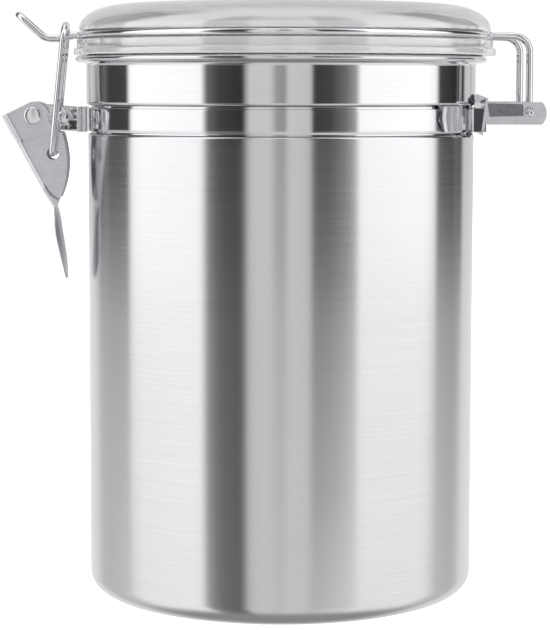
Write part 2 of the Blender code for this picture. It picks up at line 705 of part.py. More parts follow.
def make_lever(steel):
    """The latch lever: a folded channel with stepped cheeks and a thin finger tongue."""
    top, knee, neck = (Vector(from_pivot(p)) for p in (LEVER_TOP_LEFT, LEVER_KNEE, LEVER_NECK))
    run = knee - top
    inset = Vector((-run.y, run.x)).normalized() * (SHEET / 2)
    web = [tuple(top + inset), tuple(knee + inset), (neck.x + inset.x, neck.y + SHEET / 2)]
    middle = 0.5 * (LEVER_LOWER_INNER + LEVER_UPPER_OUTER)
    parts = [strip_shape(web, SHEET, [middle] * 3)]
    for side in (-1, 1):
        upper = plate_shape(
            lever_upper_outline(), side * LEVER_UPPER_INNER, side * LEVER_UPPER_OUTER
        )
        lower = plate_shape(
            lever_lower_outline(), side * LEVER_LOWER_INNER, side * LEVER_LOWER_OUTER
        )
        parts += [upper, lower]
    line = tongue_line()
    last = len(line) - 1
    spread = TONGUE_HALF_WIDTH - LEVER_LOWER_OUTER
    widths = [LEVER_LOWER_OUTER + spread * sin(pi * min(i / 5, 1) / 2) for i in range(last)]
    parts.append(strip_shape(line, TONGUE_THICKNESS, [*widths, TONGUE_TIP_HALF_WIDTH]))
    reach = LEVER_UPPER_OUTER + 1
    hook_hole = (LOOP_WIRE + LOOP_HOOK_ROOM) / 2
    cuts = [
        pin_shape(PIVOT_X, PIVOT_Z, RIVET_SHANK / 2 + GAP, -reach, reach),
        pin_shape(*from_pivot(LOOP_HOOK_PLACE), hook_hole, -reach, reach),
    ]
    return solid_of("latch_lever", parts, cuts, steel)


def make_rivet(steel):
    """The pivot rivet: a shank through lever and bracket, with a round head at each end."""
    shank_end = LEVER_UPPER_OUTER + GAP
    parts = [pin_shape(PIVOT_X, PIVOT_Z, RIVET_SHANK / 2, -shank_end - 0.2, shank_end + 0.2)]
    for side in (-1, 1):
        rim = pin_shape(
            PIVOT_X,
            PIVOT_Z,
            RIVET_HEAD / 2,
            side * shank_end,
            side * (shank_end + RIVET_HEAD_THICKNESS * 0.6),
        )
        crown = pin_shape(
            PIVOT_X,
            PIVOT_Z,
            RIVET_HEAD / 2 - RIVET_CROWN,
            side * (shank_end + 0.1),
            side * RIVET_REACH,
        )
        parts += [rim, crown]
    return solid_of("lever_rivet", parts, [], steel)


def make_loop(steel):
    """The latch loop: a wire arch whose ends hook into the lever from outside."""
    inner_end = LEVER_LOWER_INNER - LOOP_HOOK_LENGTH
    hook_x, hook_z = from_pivot(LOOP_HOOK_PLACE)
    corners = [
        (hook_x, inner_end, hook_z),
        (hook_x, LOOP_LEG_Y, hook_z),
        (-(BODY_RADIUS + LOOP_BAR_REACH), LOOP_LEG_Y, TAB_HEIGHT + LOOP_BAR_RISE),
    ]
    bends = [0, LOOP_HOOK_BEND, LOOP_CORNER]
    corners += [(x, -y, z) for x, y, z in reversed(corners)]
    bends += list(reversed(bends))
    return wire("latch_loop", rounded_route(corners, bends, 8), LOOP_WIRE, steel)


def main():
    """Build the canister."""
    for item in list(bpy.data.objects):
        bpy.data.objects.remove(item)
    brushed = make_material("brushed_stainless", (0.62, 0.62, 0.63), 0.32, 1.0)
    polished = make_material("polished_stainless", (0.72, 0.72, 0.73), 0.12, 1.0)
    plated = make_material("plated_sheet_steel", (0.52, 0.53, 0.55), 0.35, 1.0)
    bright = make_material("bright_wire", (0.66, 0.66, 0.67), 0.18, 1.0)
    clear = make_material("clear_acrylic", (0.90, 0.91, 0.92), 0.05, 0.0, 0.4)
    silicone = make_material("clear_silicone", (0.80, 0.80, 0.79), 0.45, 0.0, 0.7)

    make_body(brushed)
    make_band(polished)
    make_hinge_bracket(plated)
    make_band_clip("band_clip_front", -1, plated)
    make_band_clip("band_clip_rear", 1, plated)
    make_latch_bracket(plated)
    make_rivet(plated)
    put_on_axis(make_lever(plated), PIVOT_X, PIVOT_Z)
    put_on_axis(make_loop(bright), *from_pivot(LOOP_HOOK_PLACE))
    put_on_axis(make_frame(bright), HINGE_AXIS_X, HINGE_AXIS_Z)
    put_on_axis(make_lid(clear), HINGE_AXIS_X, HINGE_AXIS_Z, LID_SHIFT)
    put_on_axis(make_gasket(silicone), HINGE_AXIS_X, HINGE_AXIS_Z, LID_SHIFT)


main()
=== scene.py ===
"""Looks of a clamp-lid stainless steel food canister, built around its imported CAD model.

Every length is in metres, in the frame of the CAD model: the origin is at the middle of the flat
bottom, +Z is up, the latch is at -X and the hinge at +X. Sizes written in millimetres pass through MM.
"""

import json
import logging
import math
from collections.abc import Callable, Sequence
from dataclasses import dataclass, field
from enum import Enum

import bmesh
import bpy
from mathutils import Matrix, Vector

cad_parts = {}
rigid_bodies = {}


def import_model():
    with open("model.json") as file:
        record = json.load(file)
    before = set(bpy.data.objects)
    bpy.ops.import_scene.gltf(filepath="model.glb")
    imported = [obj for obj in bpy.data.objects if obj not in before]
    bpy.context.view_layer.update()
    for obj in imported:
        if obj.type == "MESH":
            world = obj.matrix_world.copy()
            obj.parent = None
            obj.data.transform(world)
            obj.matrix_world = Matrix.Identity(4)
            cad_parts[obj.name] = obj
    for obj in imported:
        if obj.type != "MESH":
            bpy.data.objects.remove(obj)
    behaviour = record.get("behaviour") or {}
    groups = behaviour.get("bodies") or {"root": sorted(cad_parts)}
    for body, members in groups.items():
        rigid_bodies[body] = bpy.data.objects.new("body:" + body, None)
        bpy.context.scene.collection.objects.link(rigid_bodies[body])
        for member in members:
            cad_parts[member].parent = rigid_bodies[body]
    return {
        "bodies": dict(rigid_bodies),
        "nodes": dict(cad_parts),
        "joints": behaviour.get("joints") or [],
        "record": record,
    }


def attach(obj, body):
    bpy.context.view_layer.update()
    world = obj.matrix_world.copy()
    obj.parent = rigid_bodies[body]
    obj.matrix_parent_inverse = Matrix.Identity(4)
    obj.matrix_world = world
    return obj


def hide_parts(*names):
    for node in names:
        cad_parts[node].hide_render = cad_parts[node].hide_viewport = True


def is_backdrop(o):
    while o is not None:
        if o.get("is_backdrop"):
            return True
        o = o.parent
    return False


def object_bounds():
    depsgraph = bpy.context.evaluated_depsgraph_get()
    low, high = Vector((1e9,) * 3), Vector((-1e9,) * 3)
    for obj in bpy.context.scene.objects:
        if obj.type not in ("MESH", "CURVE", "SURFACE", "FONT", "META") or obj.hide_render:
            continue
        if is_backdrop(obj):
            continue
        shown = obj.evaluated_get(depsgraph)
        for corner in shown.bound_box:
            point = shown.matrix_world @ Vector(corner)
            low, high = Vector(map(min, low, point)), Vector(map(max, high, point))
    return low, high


LOG = logging.getLogger("canister")
MM = 0.001
Point = tuple[float, float]

# Sizes in millimetres that more than one part uses: the middle of the band, half its fittings'
# height, the sheet they are cut from, and the radius at which their wings lie on the band.
BAND_MIDDLE = 150.35
FITTING_HALF = 3.75
SHEET = 0.8
WING_RADIUS = 61.0


class Body(Enum):
    """The rigid bodies that pieces ride on."""

    BASE = "base"
    LEVER = "lever"
    LOOP = "loop"
    LID = "lid"


class Slot(Enum):
    """The record's material slots."""

    BRUSHED = "brushed_stainless"
    POLISHED = "polished_stainless"
    SHEET = "plated_sheet_steel"
    WIRE = "bright_wire"
    ACRYLIC = "clear_acrylic"
    SILICONE = "clear_silicone"


# ---- Materials ------------------------------------------------------------------------------------


def linear(code: str) -> tuple[float, float, float, float]:
    """Turn an sRGB hex colour into linear RGBA.

    Args:
        code: the colour as six hex digits with a leading #.

    Returns:
        Linear red, green and blue, and an alpha of 1.
    """
    channels = [int(code[i : i + 2], 16) / 255 for i in (1, 3, 5)]
    values = [c / 12.92 if c <= 0.04045 else ((c + 0.055) / 1.055) ** 2.4 for c in channels]
    return (values[0], values[1], values[2], 1.0)


def add_node(
    tree: bpy.types.NodeTree,
    kind: str,
    settings: dict[str, object] | None = None,
    values: dict[str, object] | None = None,
    links: dict[str, bpy.types.NodeSocket] | None = None,
) -> bpy.types.Node:
    """Add a node with its settings, its constant inputs and the links that feed it.

    Args:
        tree: the node tree that gets the node.
        kind: the node's type name.
        settings: attributes of the node itself.
        values: constant values by input name.
        links: output sockets by the input name that they feed.

    Returns:
        The new node.
    """
    node = tree.nodes.new(kind)
    for name, value in (settings or {}).items():
        setattr(node, name, value)
    for name, value in (values or {}).items():
        node.inputs[name].default_value = value
    for name, socket in (links or {}).items():
        tree.links.new(socket, node.inputs[name])
    return node


def ramp_stops(node: bpy.types.Node, stops: Sequence[tuple[float, Sequence[float]]]) -> None:
    """Set a colour ramp's stops.

    Args:
        node: the colour ramp.
        stops: positions from 0 to 1, each with its RGBA colour.
    """
    elements = node.color_ramp.elements
    while len(elements) > 1:
        elements.remove(elements[-1])
    for index, (place, colour) in enumerate(stops):
        element = elements[0] if index == 0 else elements.new(place)
        element.position = place
        element.color = colour


@dataclass(frozen=True)
class Metal:
    """A bare metal finish with drawn, brushed or pressed grain.

    The grain is a noise stretched along the tool's path: grain_mm gives its size along X, Y and Z.
    """

    name: str
    light: str
    dark: str
    rough_low: float
    rough_high: float
    grain_mm: tuple[float, float, float]
    bump_mm: float
    mottle_mm: float = 9.0
    anisotropy: float = 0.0
    dent_mm: float = 0.0

    def build(self) -> bpy.types.Material:
        """Make the material.

        Returns:
            The finished material.
        """
        material = bpy.data.materials.new(self.name)
        material.use_nodes = True
        tree = material.node_tree
        shader = tree.nodes["Principled BSDF"]
        shader.inputs["Metallic"].default_value = 1.0
        shader.inputs["Anisotropic"].default_value = self.anisotropy
        place = add_node(tree, "ShaderNodeTexCoord").outputs["Object"]
        stretch = add_node(
            tree,
            "ShaderNodeMapping",
            values={"Scale": tuple(1 / (size * MM) for size in self.grain_mm)},
            links={"Vector": place},
        )
        grain = add_node(
            tree,
            "ShaderNodeTexNoise",
            values={"Scale": 1.0, "Detail": 3.0, "Roughness": 0.6},
            links={"Vector": stretch.outputs["Vector"]},
        )
        mottle = add_node(
            tree,
            "ShaderNodeTexNoise",
            values={"Scale": 1 / (self.mottle_mm * MM), "Detail": 2.0},
            links={"Vector": place},
        )
        both = add_node(
            tree,
            "ShaderNodeMix",
            settings={"data_type": "FLOAT"},
            values={"Factor": 0.35},
            links={"A": grain.outputs["Fac"], "B": mottle.outputs["Fac"]},
        )
        rough = add_node(
            tree,
            "ShaderNodeMapRange",
            values={
                "From Min": 0.3,
                "From Max": 0.7,
                "To Min": self.rough_low,
                "To Max": self.rough_high,
            },
            links={"Value": both.outputs["Result"]},
        )
        tone = add_node(tree, "ShaderNodeValToRGB", links={"Fac": both.outputs["Result"]})
        ramp_stops(tone, [(0.3, linear(self.dark)), (0.7, linear(self.light))])
        bump = add_node(
            tree,
            "ShaderNodeBump",
            values={"Strength": 1.0, "Distance": self.bump_mm * MM},
            links={"Height": grain.outputs["Fac"]},
        )
        if self.dent_mm:
            bump = add_node(
                tree,
                "ShaderNodeBump",
                values={"Strength": 1.0, "Distance": self.dent_mm * MM},
                links={"Height": mottle.outputs["Fac"], "Normal": bump.outputs["Normal"]},
            )
        tree.links.new(rough.outputs["Result"], shader.inputs["Roughness"])
        tree.links.new(tone.outputs["Color"], shader.inputs["Base Color"])
        tree.links.new(bump.outputs["Normal"], shader.inputs["Normal"])
        if self.anisotropy:
            shader.inputs["Anisotropic Rotation"].default_value = 0.25
            tangent = add_node(
                tree, "ShaderNodeTangent", settings={"direction_type": "RADIAL", "axis": "Z"}
            )
            tree.links.new(tangent.outputs["Tangent"], shader.inputs["Tangent"])
        return material


@dataclass(frozen=True)
class ClearPlastic:
    """A see-through plastic: moulded acrylic or soft silicone, with faint flow marks."""

    name: str
    colour: str
    ior: float
    rough_low: float
    rough_high: float
    transmission: float
    ripple_mm: float
    coat: float = 0.0
    # Denser than any clear plastic, whose own is near 1.5: it makes the coat's reflections stronger.
    coat_ior: float = 2.2

    def build(self) -> bpy.types.Material:
        """Make the material.

        Returns:
            The finished material.
        """
        material = bpy.data.materials.new(self.name)
        material.use_nodes = True
        tree = material.node_tree
        shader = tree.nodes["Principled BSDF"]
        shader.inputs["Base Color"].default_value = linear(self.colour)
        shader.inputs["IOR"].default_value = self.ior
        shader.inputs["Transmission Weight"].default_value = self.transmission
        shader.inputs["Coat Weight"].default_value = self.coat
        shader.inputs["Coat Roughness"].default_value = 0.02
        shader.inputs["Coat IOR"].default_value = self.coat_ior
        place = add_node(tree, "ShaderNodeTexCoord").outputs["Object"]
        flow = add_node(
            tree,
            "ShaderNodeTexNoise",
            values={"Scale": 1 / (self.ripple_mm * MM), "Detail": 2.0},
            links={"Vector": place},
        )
        rough = add_node(
            tree,
            "ShaderNodeMapRange",
            values={"To Min": self.rough_low, "To Max": self.rough_high},
            links={"Value": flow.outputs["Fac"]},
        )
        bump = add_node(
            tree,
            "ShaderNodeBump",
            values={"Strength": 0.35, "Distance": 0.03 * MM},
            links={"Height": flow.outputs["Fac"]},
        )
        tree.links.new(rough.outputs["Result"], shader.inputs["Roughness"])
        tree.links.new(bump.outputs["Normal"], shader.inputs["Normal"])
        return material


@dataclass
class Finishes:
    """The canister's finishes, each made once."""

    # 18/8 stainless, belt-brushed around the wall: soft upright reflections with fine level lines.
    brushed: bpy.types.Material = field(init=False)
    # The same steel buffed to a mirror at the neck, the rim and the band.
    polished: bpy.types.Material = field(init=False)
    # The drawn inside: satin, with no grain direction.
    inside: bpy.types.Material = field(init=False)
    # Nickel-plated mild steel sheet, pressed: satin, slightly mottled.
    pressed: bpy.types.Material = field(init=False)
    # The same sheet on the recess floors: coloured darker as painted shade in the recess, and rougher.
    shaded_recess: bpy.types.Material = field(init=False)
    # The same plating over smooth pressings: glossy, with the small dents of forming.
    plated: bpy.types.Material = field(init=False)
    # Buffed plate that forming has dented: mirror-like, with wavy dark and light reflections.
    buffed: bpy.types.Material = field(init=False)
    # A rivet head burnished by its set: bright and soft.
    burnished: bpy.types.Material = field(init=False)
    # Plated spring wire: bright, with faint draw lines.
    wire: bpy.types.Material = field(init=False)
    # Steel coloured nearly black, with a dull shine: a painted dark reflection on the eye tab below
    # each clip.
    dark_reflection: bpy.types.Material = field(init=False)
    # Injection-moulded acrylic: clear, with faint flow ripples, under a coat that makes it glossier.
    acrylic: bpy.types.Material = field(init=False)
    # Moulded silicone: milky and matt.
    silicone: bpy.types.Material = field(init=False)

    def __post_init__(self) -> None:
        """Build each material."""
        self.brushed = Metal(
            "brushed_stainless_steel",
            "#E2E2E4",
            "#D9D9DC",
            0.17,
            0.22,
            (60, 60, 0.35),
            0.0006,
            60.0,
            anisotropy=0.85,
        ).build()
        self.polished = Metal(
            "polished_stainless_steel", "#E2E2E4", "#DADADC", 0.05, 0.09, (20, 20, 0.5), 0.0006, 30.0
        ).build()
        self.inside = Metal(
            "drawn_stainless_steel", "#D2D2D4", "#C2C2C5", 0.28, 0.40, (12, 12, 1.0), 0.004, 20.0
        ).build()
        self.pressed = Metal(
            "nickel_plated_sheet",
            "#F5F6F9",
            "#D4D6DB",
            0.30,
            0.44,
            (0.5, 0.5, 0.5),
            0.012,
            3.0,
            dent_mm=0.02,
        ).build()
        self.shaded_recess = Metal(
            "nickel_plate_painted_recess_shade", "#AAABB0", "#76787E", 0.34, 0.5, (0.35, 0.35, 0.35), 0.02, 1.6
        ).build()
        self.plated = Metal(
            "glossy_nickel_plate",
            "#DEDEE2",
            "#C8C9CE",
            0.08,
            0.15,
            (0.8, 0.8, 0.8),
            0.002,
            3.5,
            dent_mm=0.02,
        ).build()
        self.buffed = Metal(
            "buffed_nickel_plate",
            "#F0F0F2",
            "#DEDEE2",
            0.04,
            0.08,
            (0.8, 0.8, 0.8),
            0.002,
            3.2,
            dent_mm=0.26,
        ).build()
        self.burnished = Metal(
            "burnished_rivet_steel", "#F8F8FA", "#ECECEF", 0.14, 0.22, (0.5, 0.5, 0.5), 0.004, 2.0
        ).build()
        self.wire = Metal(
            "plated_spring_wire", "#F2F2F4", "#DEDEE2", 0.05, 0.12, (0.4, 0.4, 3.0), 0.002, 4.0
        ).build()
        self.dark_reflection = Metal(
            "steel_painted_dark_reflection", "#4A4A4F", "#2A2A2E", 0.2, 0.35, (0.6, 0.6, 0.6), 0.004, 3.0
        ).build()
        self.acrylic = ClearPlastic(
            "moulded_acrylic", "#FCFDFE", 1.49, 0.01, 0.04, 0.64, 14.0, coat=1.0
        ).build()
        self.silicone = ClearPlastic(
            "moulded_silicone", "#E9EAEA", 1.41, 0.32, 0.42, 0.55, 5.0
        ).build()


# ---- Modelling steps ------------------------------------------------------------------------------


def clear_selection() -> None:
    """Deselect every object, the loaded CAD nodes too."""
    if bpy.context.object is not None and bpy.context.object.mode != "OBJECT":
        bpy.ops.object.mode_set(mode="OBJECT")
    bpy.ops.object.select_all(action="DESELECT")


def activate(piece: bpy.types.Object) -> None:
    """Make a piece the only selected and active one.

    Args:
        piece: the piece to work on.
    """
    clear_selection()
    piece.select_set(True)
    bpy.context.view_layer.objects.active = piece


def arc(centre: Point, radius: float, start: float, end: float, steps: int) -> list[Point]:
    """Points along an arc.

    Args:
        centre: the arc's centre.
        radius: its radius.
        start: the first angle in degrees.
        end: the last angle in degrees.
        steps: how many chords it has.

    Returns:
        The points, both ends included.
    """
    turns = [math.radians(start + (end - start) * i / steps) for i in range(steps + 1)]
    return [(centre[0] + radius * math.cos(t), centre[1] + radius * math.sin(t)) for t in turns]


def oval_arc(
    centre: Point, across: float, up: float, start: float, end: float, steps: int
) -> list[Point]:
    """Points along part of an ellipse.

    Args:
        centre: the ellipse's centre.
        across: its first half axis.
        up: its second half axis.
        start: the first angle in degrees.
        end: the last angle in degrees.
        steps: how many chords it has.

    Returns:
        The points, both ends included.
    """
    turns = [math.radians(start + (end - start) * i / steps) for i in range(steps + 1)]
    return [(centre[0] + across * math.cos(t), centre[1] + up * math.sin(t)) for t in turns]


def rounded_route(
    corners: Sequence[Sequence[float]], bends: Sequence[float], steps: int
) -> list[Vector]:
    """Points along a bent wire: straight runs with an arc at each corner.

    Args:
        corners: the route's corner points.
        bends: the bend radius at each corner, 0 for none.
        steps: chords in each bend.

    Returns:
        The route's points.
    """
    route = [Vector(corners[0])]
    for before, corner, after, bend in zip(corners, corners[1:], corners[2:], bends[1:]):
        here = Vector(corner)
        if bend <= 0:
            route.append(here)
            continue
        back = (Vector(before) - here).normalized()
        ahead = (Vector(after) - here).normalized()
        opening = back.angle(ahead)
        setback = bend / math.tan(opening / 2)
        centre = here + (back + ahead).normalized() * (bend / math.sin(opening / 2))
        first = here + back * setback - centre
        last = here + ahead * setback - centre
        sweep = first.angle(last)
        for i in range(steps + 1):
            share = i / steps
            near = math.sin((1 - share) * sweep) / math.sin(sweep)
            far = math.sin(share * sweep) / math.sin(sweep)
            route.append(centre + first * near + last * far)
    route.append(Vector(corners[-1]))
    return route


def draw_chain(name: str, points: Sequence[Vector], closed: bool = False) -> bpy.types.Object:
    """Draw a chain of edges by extruding one point along a list of places.

    Args:
        name: the new piece's name.
        points: the places in metres.
        closed: whether the last point is joined to the first.

    Returns:
        The new piece, in object mode.
    """
    clear_selection()
    bpy.ops.mesh.primitive_plane_add(size=MM, location=(0, 0, 0))
    piece = bpy.context.object
    piece.name = name
    piece.data.name = name
    bpy.ops.object.mode_set(mode="EDIT")
    bpy.ops.mesh.select_mode(type="VERT")
    bpy.ops.mesh.select_all(action="SELECT")
    bpy.ops.mesh.merge(type="CENTER")
    bpy.ops.mesh.select_all(action="SELECT")
    bpy.ops.transform.translate(value=points[0])
    for start, end in zip(points, points[1:]):
        bpy.ops.mesh.extrude_region_move(TRANSFORM_OT_translate={"value": end - start})
    if closed:
        shape = bmesh.from_edit_mesh(piece.data)
        shape.verts.ensure_lookup_table()
        ends = [vert for vert in shape.verts if len(vert.link_edges) == 1]
        bpy.ops.mesh.select_all(action="DESELECT")
        for vert in ends:
            vert.select = True
        shape.select_flush_mode()
        bpy.ops.mesh.edge_face_add()
    bpy.ops.object.mode_set(mode="OBJECT")
    return piece


def finish_mesh(piece: bpy.types.Object, angle: float = 35.0, merge: float = 1e-6) -> None:
    """Merge doubles, turn the faces outward and shade the piece smooth.

    Args:
        piece: the piece to finish.
        angle: edges sharper than this many degrees stay sharp.
        merge: the merge distance in metres.
    """
    activate(piece)
    bpy.ops.object.mode_set(mode="EDIT")
    bpy.ops.mesh.select_all(action="SELECT")
    bpy.ops.mesh.remove_doubles(threshold=merge)
    bpy.ops.mesh.normals_make_consistent(inside=False)
    bpy.ops.object.mode_set(mode="OBJECT")
    bpy.ops.object.shade_smooth_by_angle(angle=math.radians(angle))


def turned(
    name: str,
    profile: Sequence[Point],
    closed: bool,
    steps: int = 240,
    start: float = 0.0,
    sweep: float = 360.0,
) -> bpy.types.Object:
    """Spin a (radius, height) outline about the Z axis.

    Args:
        name: the new piece's name.
        profile: radius and height in millimetres.
        closed: whether the outline closes on itself; an open one ends on the axis.
        steps: how many facets the turn has.
        start: the first azimuth in degrees, 0 at +X.
        sweep: how far it turns, in degrees; less than 360 closes both ends.

    Returns:
        The turned piece.
    """
    turn = Matrix.Rotation(math.radians(start), 3, "Z")
    points = [turn @ Vector((r * MM, 0, z * MM)) for r, z in profile]
    piece = draw_chain(name, points, closed)
    bpy.ops.object.mode_set(mode="EDIT")
    bpy.ops.mesh.select_all(action="SELECT")
    if sweep < 360:
        bpy.ops.mesh.edge_face_add()
    bpy.ops.mesh.spin(
        steps=steps, angle=math.radians(sweep), center=(0, 0, 0), axis=(0, 0, 1), dupli=False
    )
    bpy.ops.object.mode_set(mode="OBJECT")
    finish_mesh(piece)
    return piece


def plate(name: str, outline: Sequence[Point], low: float, high: float) -> bpy.types.Object:
    """Cut a flat plate from an (x, z) outline, between two Y values.

    Args:
        name: the new piece's name.
        outline: x and z in millimetres.
        low: the first Y in millimetres.
        high: the second Y in millimetres.

    Returns:
        The plate.
    """
    points = [Vector((x, low, z)) * MM for x, z in outline]
    piece = draw_chain(name, points, closed=True)
    bpy.ops.object.mode_set(mode="EDIT")
    bpy.ops.mesh.select_all(action="SELECT")
    bpy.ops.mesh.edge_face_add()
    bpy.ops.mesh.extrude_region_move(
        TRANSFORM_OT_translate={"value": (0, (high - low) * MM, 0)}
    )
    bpy.ops.object.mode_set(mode="OBJECT")
    finish_mesh(piece)
    return piece


def pin(name: str, x: float, z: float, radius: float, low: float, high: float) -> bpy.types.Object:
    """A round bar along Y, as a cutter or a shank.

    Args:
        name: the new piece's name.
        x: the axis's x in millimetres.
        z: the axis's z in millimetres.
        radius: its radius in millimetres.
        low: its first Y in millimetres.
        high: its last Y in millimetres.

    Returns:
        The bar.
    """
    clear_selection()
    bpy.ops.mesh.primitive_cylinder_add(
        vertices=48,
        radius=radius * MM,
        depth=abs(high - low) * MM,
        location=(x * MM, (low + high) / 2 * MM, z * MM),
        rotation=(math.pi / 2, 0, 0),
    )
    bar = bpy.context.object
    bar.name = name
    bpy.ops.object.transform_apply(location=True, rotation=True, scale=True)
    return bar


def apply_modifier(
    piece: bpy.types.Object, kind: str, settings: dict[str, object]
) -> None:
    """Add a modifier with its settings and apply it.

    Args:
        piece: the piece that gets it.
        kind: the modifier's type.
        settings: its attributes.
    """
    activate(piece)
    modifier = piece.modifiers.new(kind.lower(), kind)
    for name, value in settings.items():
        setattr(modifier, name, value)
    bpy.ops.object.modifier_apply(modifier=modifier.name)


def combine(piece: bpy.types.Object, other: bpy.types.Object, operation: str) -> None:
    """Join another shape to a piece or cut it away, and remove the other shape.

    Args:
        piece: the piece that stays.
        other: the shape that is used up.
        operation: UNION or DIFFERENCE.
    """
    apply_modifier(piece, "BOOLEAN", {"operation": operation, "object": other, "solver": "EXACT"})
    bpy.data.objects.remove(other)


def ease_edges(piece: bpy.types.Object, width: float, segments: int = 2) -> None:
    """Round a piece's sharp edges.

    Args:
        piece: the piece.
        width: the bevel's width in millimetres.
        segments: how many facets each rounded edge has.
    """
    apply_modifier(
        piece,
        "BEVEL",
        {
            "width": width * MM,
            "segments": segments,
            "limit_method": "ANGLE",
            "angle_limit": math.radians(40),
            "use_clamp_overlap": True,
        },
    )


def flatten_faces(piece: bpy.types.Object) -> None:
    """Let a pressing's large faces shade flat and only its bends shade round.

    Args:
        piece: the finished pressing.
    """
    apply_modifier(piece, "WEIGHTED_NORMAL", {"weight": 100, "keep_sharp": True})


def fold_edges(
    piece: bpy.types.Object, start: Vector, end: Vector, radius: float, segments: int = 1
) -> None:
    """Round the two long edges of a plate that lie on a line of its side view, as a folded bend.

    Args:
        piece: the plate.
        start: x and z of the line's first end in millimetres.
        end: x and z of its last end.
        radius: the bend's radius in millimetres.
        segments: facets in the bend.
    """
    activate(piece)
    bpy.ops.object.mode_set(mode="EDIT")
    bpy.ops.mesh.select_mode(type="EDGE")
    bpy.ops.mesh.select_all(action="DESELECT")
    shape = bmesh.from_edit_mesh(piece.data)
    across = Vector((start.y - end.y, end.x - start.x)).normalized()
    near = 0.01 * MM
    for edge in shape.edges:
        level = abs(edge.verts[0].co.y - edge.verts[1].co.y) < near
        gaps = [abs(across.dot(Vector((v.co.x, v.co.z)) - start * MM)) for v in edge.verts]
        edge.select = level and max(gaps) < near
    shape.select_flush_mode()
    bmesh.update_edit_mesh(piece.data)
    bpy.ops.mesh.bevel(
        offset=radius * MM, segments=segments, affect="EDGES", clamp_overlap=True
    )
    bpy.ops.object.mode_set(mode="OBJECT")


def shape_points(piece: bpy.types.Object, place: Callable[[Vector], Vector]) -> None:
    """Move each point of a piece by a rule.

    Args:
        piece: the piece.
        place: gives a point's new place from its old one.
    """
    for vert in piece.data.vertices:
        vert.co = place(vert.co.copy())
    piece.data.update()


def wire(
    name: str, route: Sequence[Vector], diameter: float, sides: int = 20
) -> bpy.types.Object:
    """Draw a round wire with softly rounded ends along a route.

    Args:
        name: the new piece's name.
        route: the points of its centre line in millimetres.
        diameter: its diameter in millimetres.
        sides: facets around it.

    Returns:
        The wire.
    """
    radius = diameter / 2
    first = (route[1] - route[0]).normalized()
    last = (route[-2] - route[-1]).normalized()
    shares = (0.0, 0.12, 0.3)
    line = [route[0] + first * radius * s for s in shares]
    line += list(route[1:-1])
    line += [route[-1] + last * radius * s for s in reversed(shares)]
    piece = draw_chain(name, [p * MM for p in line])
    activate(piece)
    bpy.ops.object.convert(target="CURVE")
    curve = bpy.context.object.data
    curve.bevel_depth = radius * MM
    curve.bevel_resolution = sides // 4 - 1
    curve.use_fill_caps = True
    curve.twist_mode = "MINIMUM"
    points = curve.splines[0].points
    for share, near, far in ((0.62, 0, -1), (0.88, 1, -2), (1.0, 2, -3)):
        points[near].radius = share
        points[far].radius = share
    bpy.ops.object.convert(target="MESH")
    piece = bpy.context.object
    piece.name = name
    finish_mesh(piece, 50)
    return piece


def dress(
    piece: bpy.types.Object, body: Body, slot: Slot, nodes: Sequence[str], *coats: bpy.types.Material
) -> bpy.types.Object:
    """Give a finished piece its materials, its body and the CAD nodes that it stands for.

    Args:
        piece: the finished piece.
        body: the body that it rides on.
        slot: the record's slot of its finish; not used.
        nodes: the CAD nodes that it replaces.
        coats: its materials, in the order of its slots.

    Returns:
        The piece.
    """
    indices = [polygon.material_index for polygon in piece.data.polygons]
    piece.data.materials.clear()
    for coat in coats:
        piece.data.materials.append(coat)
    for polygon, index in zip(piece.data.polygons, indices):
        polygon.material_index = min(index, len(coats) - 1)
    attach(piece, body.value)
    for node in nodes:
        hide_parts(node)
    LOG.info("%s rides on %s: %d faces", piece.name, body.value, len(piece.data.polygons))
    return piece


# ---- The canister's parts -------------------------------------------------------------------------


def joint_place(frame: dict, name: str) -> Point:
    """Where a joint's axis crosses the side view.

    Args:
        frame: the loaded frame.
        name: the joint's name in the record.

    Returns:
        Its x and z in millimetres.
    """
    places = {joint["name"]: joint["pos_m"] for joint in frame["record"]["behaviour"]["joints"]}
    x, _, z = places[name]
    return (round(x / MM, 3), round(z / MM, 3))


